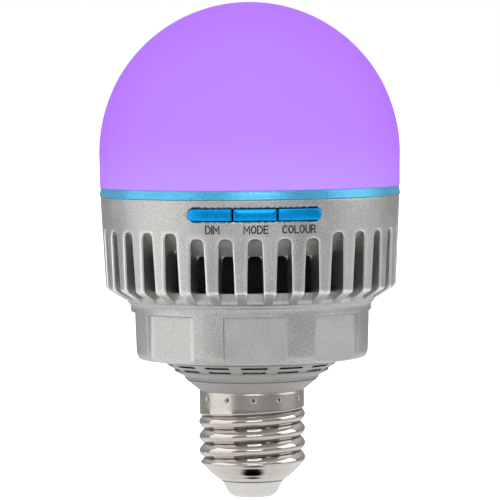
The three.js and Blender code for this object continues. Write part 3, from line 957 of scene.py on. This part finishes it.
    def add_opening(self, shape: Shape, turn: float, top: float) -> None:
        """Adds the thickness of the wall around one slot's way through.

        Args:
            shape: the shape to add to.
            turn: the slot's angle from the front.
            top: height of the slot's top.
        """
        high = top - self.through_drop
        heights = [z for z in self.leg_heights if self.through_low <= z <= high + 0.01]
        sides = []
        for side in (-1, 1):
            near = [place(turn, side * self.slot_half(z), self.slot_root, z) for z in heights]
            far = [self.inner_point(turn, side, z) for z in heights]
            sides.append((near, far))
            shape.sheet([near, far])
        for end in (0, -1):
            shape.sheet([[sides[0][0][end], sides[0][1][end]], [sides[1][0][end], sides[1][1][end]]])
        highest = self.slot_top - self.through_drop
        closed = [z for z in self.leg_heights if high - 0.01 <= z <= highest + 0.01]
        for low, upper in zip(closed, closed[1:]):
            shape.sheet([[self.inner_point(turn, side, z) for side in (-1, 1)] for z in (low, upper)])

    def add_arch(self, shape: Shape, turn: float, top: float) -> None:
        """Adds the two rounded corners at the top of one slot's way through.

        Args:
            shape: the shape to add to.
            turn: the slot's angle from the front.
            top: height of the slot's top.
        """
        high = top - self.through_drop
        half = self.slot_half(high)
        for side in (-1, 1):
            edge = [(half + 0.05, high + 0.05), (half + 0.05, high - self.arch)]
            for step in range(7):
                angle = math.radians(15 * step)
                edge.append((half - self.arch + self.arch * math.cos(angle),
                             high - self.arch + self.arch * math.sin(angle)))
            edge.append((half - self.arch, high + 0.05))
            sections = [
                [place(turn, side * u, out, z) for u, z in edge]
                for out in (self.slot_root - 0.03, self.inner_root + 0.03)
            ]
            start = len(shape.corners)
            shape.sheet(sections, wrap=True)
            shape.faces.append(tuple(range(start, start + len(edge))))
            shape.faces.append(tuple(range(start + len(edge), start + 2 * len(edge))))

    def inner_point(self, turn: float, side: int, z: float) -> Point:
        """Finds the point on the inner wall beside a slot."""
        return place(turn, side * self.slot_half(z), self.inner_root, z)

    def inner_loop(self, radius: Optional[float], z: float) -> list[Point]:
        """Walks once around the inner wall, with a point on each side of every slot.

        Args:
            radius: the wall's radius, or None for the flats that the slots go through.
            z: height above the contact.

        Returns:
            The loop's points.
        """
        half = 180 / self.fins
        near_slot = min(max(z, self.through_low), self.slot_top - self.through_drop)
        side_turn = math.degrees(math.asin(self.slot_half(near_slot) / self.slot_root))
        points = []
        for i in range(self.fins):
            turn = 360 * i / self.fins
            if radius is None:
                edge = self.inner_root / math.cos(math.radians(half))
                points.append(place(turn - half, 0, edge, z))
                points += [self.inner_point(turn, -1, z), self.inner_point(turn, 1, z)]
            else:
                asides = (-half, -side_turn, side_turn)
                points += [place(turn + aside, 0, radius, z) for aside in asides]
        return points

    def add_inside(self, shape: Shape) -> tuple[list[Point], list[Point]]:
        """Adds the inner wall, open where the slots go through.

        Args:
            shape: the shape to add to.

        Returns:
            The inner wall's lowest and highest loops.
        """
        highest = self.slot_top - self.through_drop
        heights = [z for z in self.leg_heights if self.through_low <= z <= highest + 0.01]
        above = [(31.6, 64.6), (34.6, 67.9), (34.6, 70.0), (34.6, 74.2), (35.7, 74.2), (35.7, 75.6)]
        below = [(29.4, 51.6), (26.3, 47.8), (26.3, 42.0), (26.3, 36.3), (20.6, 36.3)]
        through = [self.inner_loop(None, z) for z in heights]
        for low, high in zip(through, through[1:]):
            for i in range(self.fins):
                first, left, right = 3 * i, 3 * i + 1, 3 * i + 2
                following = (3 * i + 3) % (3 * self.fins)
                shape.sheet([[low[first], low[left]], [high[first], high[left]]])
                shape.sheet([[low[right], low[following]], [high[right], high[following]]])
        upper = [through[-1]] + [self.inner_loop(r, z) for r, z in above]
        lower = [through[0]] + [self.inner_loop(r, z) for r, z in below]
        shape.sheet(upper, wrap=True)
        shape.sheet(lower, wrap=True)
        return lower[-1], upper[-1]

    def band_rows(self, start: list[Point]) -> list[list[Point]]:
        """Carries the slots' upper edge up the plain band to the top rim.

        Args:
            start: the loop at the band's foot.

        Returns:
            The loops of the band.
        """
        turns = [math.degrees(math.atan2(x, -y)) for x, y, _ in start]
        rows = [start]
        for z in (69.6, 70.8, 72.0, 73.2, 74.4, 75.2):
            rows.append([place(t, 0, self.outside(z), z) for t in turns])
        for drop in (0.06, 0.2):
            z = self.top - (0.2 - drop) * 0.9
            rows.append([place(t, 0, self.outside(z) - drop, z) for t in turns])
        return rows

    def pad_angles(self) -> list[float]:
        """Spaces the neck's columns over one pad, closer together at its edges.

        Returns:
            The angle of each column from the pad's middle.
        """
        knots = (0, 8, 9, 10, 11, 12, 13, 39, 40, 41, 42, 43, 44, 52)
        turns = (-22.5, -15.3, -15.05, -14.92, -14.8, -14.68, -14.4,
                 14.4, 14.68, 14.8, 14.92, 15.05, 15.3, 22.5)
        return [float(np.interp(i, knots, turns)) for i in range(52)]

    def neck_radius(self, plain: float, z: float, turn: float) -> float:
        """Presses the pads into the neck.

        Args:
            plain: the neck's radius without pads.
            z: height above the contact.
            turn: angle from the front.

        Returns:
            The radius.
        """
        step = 360 / self.pads
        aside = (turn + step / 2) % step - step / 2
        flat = self.pad_plane / math.cos(math.radians(aside))
        across = float(np.clip((self.pad_half - abs(aside)) / self.pad_ramp, 0, 1))
        up = float(np.clip((self.pad_top - z) / self.pad_ramp_height, 0, 1))
        share = min(across, up)
        share = share * share * (3 - 2 * share)
        return plain + min(0.0, flat - plain) * share

    def add_neck(self, shape: Shape, start: list[Point]) -> list[Point]:
        """Carries the fins' feet down the shoulder, the collar and the neck to the underside.

        Args:
            shape: the shape to add to.
            start: the loop across the fins' feet.

        Returns:
            The loop at the edge of the opening underneath.
        """
        turns = np.array([math.degrees(math.atan2(x, -y)) for x, y, _ in start])
        order = np.argsort(turns)
        begin = [start[i] for i in order]
        fin_turns = turns[order]
        step = 360 / self.pads
        pad_turns = np.array(sorted(
            (step * pad + turn + 180) % 360 - 180
            for pad in range(self.pads) for turn in self.pad_angles()
        ))
        collar = [(31.62, 49.98, 0.0), (31.08, 49.68, 0.0), (30.95, 49.56, 0.0), (30.9, 49.42, 0.05),
                  (30.88, 49.22, 0.1), (30.72, 49.1, 0.2), (30.48, 48.88, 0.3), (30.3, 48.55, 0.5),
                  (30.18, 48.1, 0.7), (30.12, 47.6, 0.9), (30.1, 47.3, 1.0)]
        neck = [(30.1, z, 1.0) for z in (47.05, 46.95, 46.84, 46.74, 46.64, 46.54, 46.4, 46.1)]
        neck += [(30.1 - (46.0 - z) * 0.035, z, 1.0) for z in (44.5, 42.5, 40.5, 38.8, 37.6)]
        corner = []
        for i in range(1, 9):
            angle = math.radians(-80 * i / 8)
            corner.append((27.35 + 2.42 * math.cos(angle), 37.35 + 2.42 * math.sin(angle), 1.0))
        under = [(25.5, 34.78, 1.0), (23.6, 34.55, 1.0), (22.6, 34.4, 1.0), (20.6, 34.4, 1.0)]
        rows = [begin]
        for radius, z, share in collar + neck + corner + under:
            row_turns = fin_turns + (pad_turns - fin_turns) * share
            rows.append([
                place(t, 0, self.neck_radius(radius, z, t) if z > 34.9 else radius, z)
                for t in row_turns
            ])
        shape.sheet(rows, wrap=True)
        return rows[-1]

    def window_cutter(self) -> Shape:
        """Makes the curved block, round at its ends, that cuts the keys' window.

        Returns:
            The block.
        """
        low, high = self.window
        half = (high - low) / 2
        middle = (high + low) / 2
        radius = self.window_corner
        reach = math.radians(self.window_end) * self.window_face
        edge = []
        for step in range(7):
            angle = math.radians(15 * step)
            edge.append((reach - radius + radius * math.sin(angle),
                         half - radius + radius * math.cos(angle)))
        spans = [reach * i / 24 for i in range(20)]
        pairs = [(s, half) for s in spans if s < reach - radius - 0.3] + edge
        pairs = [(-s, h) for s, h in reversed(pairs[1:])] + pairs
        cutter = Shape()
        sections = []
        for out in (33.0, 36.0, 39.5):
            ring = [(s, middle + h) for s, h in pairs] + [(s, middle - h) for s, h in reversed(pairs)]
            sections.append([place(math.degrees(s / self.window_face), 0, out, z) for s, z in ring])
        cutter.sheet(sections, wrap=True)
        for section in (sections[0], sections[-1]):
            count = len(section)
            for i in range(count // 2 - 1):
                cutter.sheet([[section[i], section[count - 1 - i]],
                              [section[i + 1], section[count - 2 - i]]])
        return cutter

    def build(self) -> None:
        """Makes the whole casting and cuts the keys' window."""
        shape = Shape()
        feet: list[Point] = []
        arches = Shape()
        for i in range(self.fins):
            near_front = i <= 2 or i >= self.fins - 2
            top = self.slot_top - (self.front_drop if near_front else 0.0)
            turn = 360 * i / self.fins
            feet += self.add_slot(shape, turn, top)[:-1]
            self.add_opening(shape, turn, top)
            self.add_arch(arches, turn, top)
        half = 180 / self.fins
        foot_turns = [0.55, 0.12, -0.12, -0.55]
        band: list[Point] = []
        out = self.outside(self.band_foot)
        for i in range(self.fins):
            turn = 360 * i / self.fins
            band.append(place(turn - half, 0, out, self.band_foot))
            band += [place(turn - share * half, 0, out, self.band_foot) for share in foot_turns]
        rows = self.band_rows(band)
        shape.sheet(rows, wrap=True)
        low_out = self.add_neck(shape, feet)
        low_in, high_in = self.add_inside(shape)
        casting = shape.piece("heat_sink_casting")
        self.close_rims(casting)
        cut(casting, self.window_cutter())
        finished(casting, DIE_CAST, "cast_aluminium", BULB, "heat_sink")
        finished(arches.piece("heat_sink_slot_arches"), DIE_CAST, "cast_aluminium", BULB)
        LOG.info("casting rims: %d and %d points", len(low_out) + len(low_in), len(high_in))

    def close_rims(self, casting: bpy.types.Object) -> None:
        """Joins the outer skin to the inner wall at the top rim and around the opening below.

        Args:
            casting: the casting, open at both rims.
        """
        work = bmesh.new()
        work.from_mesh(casting.data)
        open_edges = [edge for edge in work.edges if edge.is_boundary]
        for high in (True, False):
            rim = [edge for edge in open_edges if (edge.verts[0].co.z > 60 * MM) == high]
            bmesh.ops.bridge_loops(work, edges=rim)
        bmesh.ops.recalc_face_normals(work, faces=work.faces)
        work.to_mesh(casting.data)
        work.free()
        soften(casting)


# ---- Keys --------------------------------------------------------------------------------------


class KeyPlace(Enum):
    """The three keys: body name, first and last angle, and which ends are round."""

    LEFT = ("key_left", -25.4, -8.72, True, False)
    MODE = ("key_mode", -7.95, 7.95, False, False)
    RIGHT = ("key_right", 8.72, 25.4, False, True)


@dataclass
class Keys:
    """The three lacquered key caps, curved to the band and bevelled all round."""

    low: float = 70.6
    high: float = 73.4
    back: float = 33.6
    face: float = 37.85
    bevel: float = 0.4
    crown: float = 0.07
    end_radius: float = 1.1
    inner_end_radius: float = 0.12
    columns: int = 28
    across: int = 6

    def half_height(self, s: float, start: float, end: float, ends: tuple[bool, bool]) -> float:
        """Gives half the key's height at a place along it.

        Args:
            s: the place along the key.
            start: its left end.
            end: its right end.
            ends: whether the left and right ends are round.

        Returns:
            Half of the height there.
        """
        half = (self.high - self.low) / 2
        height = half
        for near, is_round in ((s - start, ends[0]), (end - s, ends[1])):
            radius = self.end_radius if is_round else self.inner_end_radius
            if near < radius:
                rise = math.sqrt(max(0.0, radius**2 - (radius - near) ** 2))
                height = min(height, half - radius + rise)
        return height

    def level(self, key: KeyPlace, inset: float, out: float) -> list[list[Point]]:
        """Lays a grid of points over a key at one distance from the axis.

        Args:
            key: which key.
            inset: how far the grid's border stands in from the key's outline.
            out: distance from the axis.

        Returns:
            The grid, a row of points up the key at each place along it.
        """
        _, first, last, *ends = key.value
        start, end = (math.radians(a) * self.face for a in (first, last))
        middle = (self.low + self.high) / 2
        span = end - start
        rows = []
        for i in range(self.columns + 1):
            share = 0.5 - 0.5 * math.cos(math.pi * i / self.columns)
            s = start + span * share
            moved = start + inset + (s - start) * (span - 2 * inset) / span
            half = self.half_height(s, start, end, tuple(ends)) - inset
            turn = math.degrees(moved / self.face)
            rows.append([
                place(turn, 0, out, middle + half * (2 * j / self.across - 1))
                for j in range(self.across + 1)
            ])
        return rows

    def rim(self, rows: list[list[Point]]) -> list[Point]:
        """Walks around a grid's border: along the bottom, up the right, back along the top, down."""
        bottom = [row[0] for row in rows]
        top = [row[-1] for row in rows]
        return bottom + rows[-1][1:-1] + top[::-1] + rows[0][1:-1][::-1]

    def build_key(self, key: KeyPlace) -> None:
        """Makes one key cap.

        Args:
            key: which key.
        """
        body = key.value[0]
        levels = [self.level(key, 0.0, self.back), self.level(key, 0.0, self.face - self.bevel)]
        for bend in (24, 48, 66, 80):
            inset = self.bevel * (1 - math.cos(math.radians(bend)))
            drop = self.bevel * (1 - math.sin(math.radians(bend)))
            levels.append(self.level(key, inset, self.face - self.crown - drop))
        levels.append(self.level(key, self.bevel + 0.4, self.face - self.crown * 0.3))
        levels.append(self.level(key, self.bevel + 0.8, self.face))
        shape = Shape()
        shape.sheet([self.rim(rows) for rows in levels], wrap=True)
        shape.sheet(levels[0])
        shape.sheet(levels[-1])
        cap = shape.piece(f"{body}_cap")
        finished(cap, BLUE_LACQUER, "blue_key", body, body)

    def build(self) -> None:
        """Makes every key cap."""
        for key in KeyPlace:
            self.build_key(key)


# ---- Labels ------------------------------------------------------------------------------------


Stroke = list[tuple[float, float]]


def bow(x: float, y: float, rx: float, ry: float, start: float, end: float) -> Stroke:
    """Gives the points of a curved pen stroke.

    Args:
        x: sideways place of the curve's centre.
        y: height of the curve's centre.
        rx: radius sideways.
        ry: radius upwards.
        start: the stroke's first angle, in degrees.
        end: its last angle.

    Returns:
        The stroke's points.
    """
    steps = 8
    angles = [math.radians(start + (end - start) * i / steps) for i in range(steps + 1)]
    return [(x + rx * math.cos(a), y + ry * math.sin(a)) for a in angles]


# Plain single-line capitals in a box 1 high; each entry is the letter's width and its strokes.
LETTERS: dict[str, tuple[float, list[Stroke]]] = {
    "D": (0.64, [[(0, 0), (0, 1), (0.27, 1)] + bow(0.27, 0.5, 0.37, 0.5, 90, -90) + [(0, 0)]]),
    "I": (0.0, [[(0, 0), (0, 1)]]),
    "M": (0.75, [[(0, 0), (0, 1), (0.375, 0.35), (0.75, 1), (0.75, 0)]]),
    "O": (0.64, [bow(0.32, 0.5, 0.32, 0.5, 0, 360)]),
    "E": (0.52, [[(0.52, 1), (0, 1), (0, 0), (0.52, 0)], [(0, 0.52), (0.46, 0.52)]]),
    "C": (0.6, [bow(0.32, 0.5, 0.32, 0.5, 50, 310)]),
    "L": (0.5, [[(0, 1), (0, 0), (0.5, 0)]]),
    "U": (0.6, [[(0, 1), (0, 0.3)] + bow(0.3, 0.3, 0.3, 0.3, 180, 360) + [(0.6, 1)]]),
    "R": (0.58, [[(0, 0), (0, 1), (0.3, 1)] + bow(0.3, 0.75, 0.25, 0.25, 90, -90) + [(0, 0.5)],
                 [(0.28, 0.5), (0.58, 0)]]),
}


@dataclass
class Labels:
    """The plain function words printed under the keys."""

    height: float = 1.75
    base: float = 67.55
    pen: float = 0.34
    gap: float = 0.42
    lift: float = 0.02
    thickness: float = 0.03
    face: float = 37.0  # the radius at which lengths along the band are measured
    words: tuple[tuple[str, float], ...] = (("DIM", -16.1), ("MODE", 0.3), ("COLOUR", 16.8))

    def add_stroke(self, shape: Shape, stroke: Stroke, start: float, casting: HeatSink) -> None:
        """Adds one pen stroke as a thin raised ribbon.

        Args:
            shape: the shape to add to.
            stroke: its points, in letter heights.
            start: the letter's left edge along the band.
            casting: the body that it is printed on.
        """
        points = [Vector((start + x * self.height, self.base + y * self.height)) for x, y in stroke]
        closed = (points[0] - points[-1]).length < 0.01
        sides: list[list[Point]] = []
        for i, here in enumerate(points):
            before = points[i - 1] if i else (points[-2] if closed else here)
            after = points[i + 1] if i + 1 < len(points) else (points[1] if closed else here)
            into = (here - before).normalized()
            onward = (after - here).normalized()
            along = (into + onward).normalized()
            across = Vector((-along.y, along.x))
            reach = self.pen / 2
            if into.length and onward.length:
                reach /= max(0.5, abs(across.dot(Vector((-onward.y, onward.x)))))
            if not closed and i == 0:
                here = here - onward * self.pen / 2
            if not closed and i + 1 == len(points):
                here = here + into * self.pen / 2
            ring = []
            for side, lift in ((-1, 0.0), (1, 0.0), (1, self.thickness), (-1, self.thickness)):
                spot = here + across * reach * side
                out = casting.outside(spot.y) + self.lift + lift
                ring.append(place(math.degrees(spot.x / self.face), 0, out, spot.y))
            sides.append(ring)
        begin = len(shape.corners)
        shape.sheet(sides, wrap=True)
        if not closed:
            last = begin + 4 * (len(sides) - 1)
            shape.faces.append((begin + 3, begin + 2, begin + 1, begin))
            shape.faces.append((last, last + 1, last + 2, last + 3))

    def build(self, casting: HeatSink) -> None:
        """Prints every word.

        Args:
            casting: the body that they are printed on.
        """
        for word, turn in self.words:
            widths = [LETTERS[letter][0] * self.height for letter in word]
            total = sum(widths) + self.gap * (len(word) - 1)
            pen_at = math.radians(turn) * self.face - total / 2
            shape = Shape()
            for letter, width in zip(word, widths):
                for stroke in LETTERS[letter][1]:
                    self.add_stroke(shape, stroke, pen_at, casting)
                pen_at += width + self.gap
            label = shape.piece(f"label_{word.lower()}", weld=0.0005)
            finished(label, INK, "black_plastic", BULB)


# ---- Dome and ring -----------------------------------------------------------------------------


@dataclass
class DomeAndRing:
    """The opal dome with its skirt, and the blue ring around it."""

    radius: float = 37.5
    crown: float = 37.6
    spring: float = 86.2  # height of the hemisphere's centre
    wall: float = 1.8
    ring_low: float = 75.62
    ring_high: float = 77.8
    ring_radius: float = 37.6
    ring_slant: float = 0.3  # how far the ring's top edge stands back
    segments: int = 160

    def arc(self, radius: float, start: float, end: float, steps: int) -> Profile:
        """Gives points on the crown's arc.

        Args:
            radius: the arc's radius.
            start: its first angle, in degrees from level.
            end: its last angle.
            steps: flat steps along it.

        Returns:
            Radius and height of each point.
        """
        angles = [math.radians(start + (end - start) * i / steps) for i in range(steps + 1)]
        return [(radius * math.cos(a), self.spring + radius * math.sin(a)) for a in angles]

    def build(self) -> None:
        """Makes the dome and the ring."""
        inner = self.crown - self.wall
        lip = self.ring_high + 0.02
        profile = [(34.5, 76.1), (35.6, 76.1), (35.6, lip), (self.radius - 0.25, lip),
                   (self.radius - 0.07, lip + 0.08), (self.radius, lip + 0.25), (self.radius, 80.0),
                   (self.radius + 0.03, 83.0)]
        profile += self.arc(self.crown, 0, 90, 40)[:-1] + [(0.0, self.spring + self.crown)]
        profile += [(0.0, self.spring + inner)] + self.arc(inner, 90, 0, 24)[1:]
        profile += [(35.7, 79.5), (34.5, 78.3), (34.5, 76.1)]
        dome = Shape()
        dome.turn(profile, self.segments, closed=False)
        finished(dome.piece("dome_opal"), OPAL, "opal_dome", BULB, "diffuser_dome")
        ring = Shape()
        ring.turn(rounded([
            (35.9, self.ring_low), (self.ring_radius, self.ring_low, 0.12),
            (self.ring_radius - self.ring_slant, self.ring_high, 0.2), (35.9, self.ring_high),
        ], steps=3), 256)
        finished(ring.piece("trim_ring_turned"), BLUE_ANODISED, "blue_ring", BULB, "trim_ring")


# ---- Studio ------------------------------------------------------------------------------------


@dataclass
class Studio:
    """The floor, the lights and the camera."""

    distance: float = 900.0
    eye_height: float = 105.5
    aim_height: float = 61.8
    aim_aside: float = -0.12
    view_turn: float = -1.8
    roll: float = -0.55
    lens: float = 259.0
    sensor: float = 36.0
    front_level: float = 0.24  # how bright the surroundings are in front, below, above and behind
    floor_level: float = 0.85
    ceiling_level: float = 0.4
    backdrop_level: float = 0.1

    def floor(self) -> None:
        """Lays a plain pale floor."""
        half = 30000.0
        shape = Shape()
        ticks = [-half, -half / 10, half / 10, half]
        shape.sheet([[(x, y, -0.02) for x in ticks] for y in ticks])
        floor = shape.piece("floor", weld=0.01)
        material = bpy.data.materials.new("pale_floor")
        material.use_nodes = True
        shader = material.node_tree.nodes["Principled BSDF"]
        shader.inputs["Base Color"].default_value = linear("f4f4f4")
        shader.inputs["Roughness"].default_value = 0.9
        shader.inputs["Specular IOR Level"].default_value = 0.0
        shader.inputs["Emission Color"].default_value = linear("ffffff")
        shader.inputs["Emission Strength"].default_value = 0.9
        floor.data.materials.append(material)
        floor.visible_glossy = False  # metals mirror the world's soft gradient instead

    def softbox(self, name: str, turn: float, out: float, z: float, size: tuple[float, float],
                watts: float) -> None:
        """Hangs a soft light that faces the bulb.

        Args:
            name: its name.
            turn: its angle from the front.
            out: its distance from the axis.
            z: its height.
            size: its width and height.
            watts: its power.
        """
        light = bpy.data.lights.new(name, "AREA")
        light.shape = "RECTANGLE"
        light.size = size[0] * MM
        light.size_y = size[1] * MM
        light.energy = watts
        obj = bpy.data.objects.new(name, light)
        obj.location = Vector(place(turn, 0, out, z)) * MM
        target = Vector((0, 0, self.aim_height)) * MM
        obj.rotation_euler = (target - obj.location).to_track_quat("-Z", "Y").to_euler()
        bpy.context.scene.collection.objects.link(obj)

    def world(self) -> None:
        """Makes the even surroundings: white to the eye, greyer in reflections."""
        world = bpy.data.worlds.new("studio")
        bpy.context.scene.world = world
        world.use_nodes = True
        tree = world.node_tree
        tree.nodes.clear()
        path = add_node(tree, "ShaderNodeLightPath")
        facing = add_node(tree, "ShaderNodeTexCoord").outputs["Generated"]
        parts = add_node(tree, "ShaderNodeSeparateXYZ", links={"Vector": facing})
        rise = parts.outputs["Z"]
        parts_of_it = (
            (rise, -0.13, -0.42, self.front_level, self.floor_level),  # the floor in front
            (rise, 0.15, 0.6, 0.0, self.ceiling_level),
            (parts.outputs["Y"], 0.1, 0.6, 0.0, self.backdrop_level),
            (rise, -0.955, -0.985, 0.0, -self.floor_level),  # the bulb's own dark foot
        )
        level: Optional[bpy.types.NodeSocket] = None
        for source, first, last, start, end in parts_of_it:
            part = add_node(
                tree, "ShaderNodeMapRange",
                {"From Min": first, "From Max": last, "To Min": start, "To Max": end},
                {"Value": source},
            ).outputs["Result"]
            level = part if level is None else add_node(
                tree, "ShaderNodeMath", {"operation": "ADD", "use_clamp": True}, {0: level, 1: part}
            ).outputs["Value"]
        seen = add_node(tree, "ShaderNodeBackground", {"Color": linear("ffffff"), "Strength": 1.0})
        lit = add_node(tree, "ShaderNodeBackground", {"Color": linear("ffffff")}, {"Strength": level})
        mix = add_node(
            tree, "ShaderNodeMixShader",
            links={0: path.outputs["Is Camera Ray"], 1: lit.outputs[0], 2: seen.outputs[0]},
        )
        add_node(tree, "ShaderNodeOutputWorld", links={"Surface": mix.outputs[0]})

    def camera(self) -> None:
        """Stands the camera at the front, a little to the left and above."""
        camera = bpy.data.cameras.new("camera")
        camera.lens = self.lens
        camera.sensor_width = self.sensor
        camera.clip_end = 200.0
        obj = bpy.data.objects.new("camera", camera)
        obj.location = Vector(place(self.view_turn, 0, self.distance, self.eye_height)) * MM
        target = Vector((self.aim_aside, 0, self.aim_height)) * MM
        turn = (target - obj.location).to_track_quat("-Z", "Y").to_matrix()
        turn = turn @ Matrix.Rotation(math.radians(self.roll), 3, "Z")
        obj.rotation_euler = turn.to_euler()
        bpy.context.scene.collection.objects.link(obj)
        bpy.context.scene.camera = obj

    def build(self) -> None:
        """Sets up the studio."""
        bpy.context.scene.view_settings.view_transform = "Standard"
        self.camera()
        self.floor()
        self.world()
        self.softbox("key_light", -77, 950, 300, (1250, 1300), 4.7)
        self.softbox("fill_light", 86, 950, 420, (800, 870), 2.75)
        self.softbox("top_light", 0, 300, 1150, (900, 900), 3.6)
        self.softbox("front_light", 2, 900, 310, (560, 200), 1.15)
        LOG.info("studio: camera %.0f mm away, lens %.0f mm", self.distance, self.lens)


# ---- The whole bulb ----------------------------------------------------------------------------


@dataclass
class CarriedNodes:
    """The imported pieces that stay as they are, each in a finish of its own."""

    def build(self) -> None:
        """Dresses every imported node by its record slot."""
        for part in frame["record"]["subparts"]:
            obj = bpy.data.objects.get(part["node"])
            finish = SLOT_FINISHES[part["material_slot"]]
            if obj is None:
                continue
            if len(obj.material_slots) == 0:
                obj.data.materials.append(finish.material())
            for material_slot in obj.material_slots:
                material_slot.material = finish.material()


def main() -> None:
    """Builds every sub-assembly in order, and the studio around them."""
    logging.basicConfig(level=logging.INFO, format="%(name)s: %(message)s")
    Studio().build()
    CarriedNodes().build()
    ScrewBase().build()
    BaseCollar().build()
    casting = HeatSink()
    casting.build()
    Keys().build()
    Labels().build(casting)
    DomeAndRing().build()


if __name__ == "__main__":
    main()
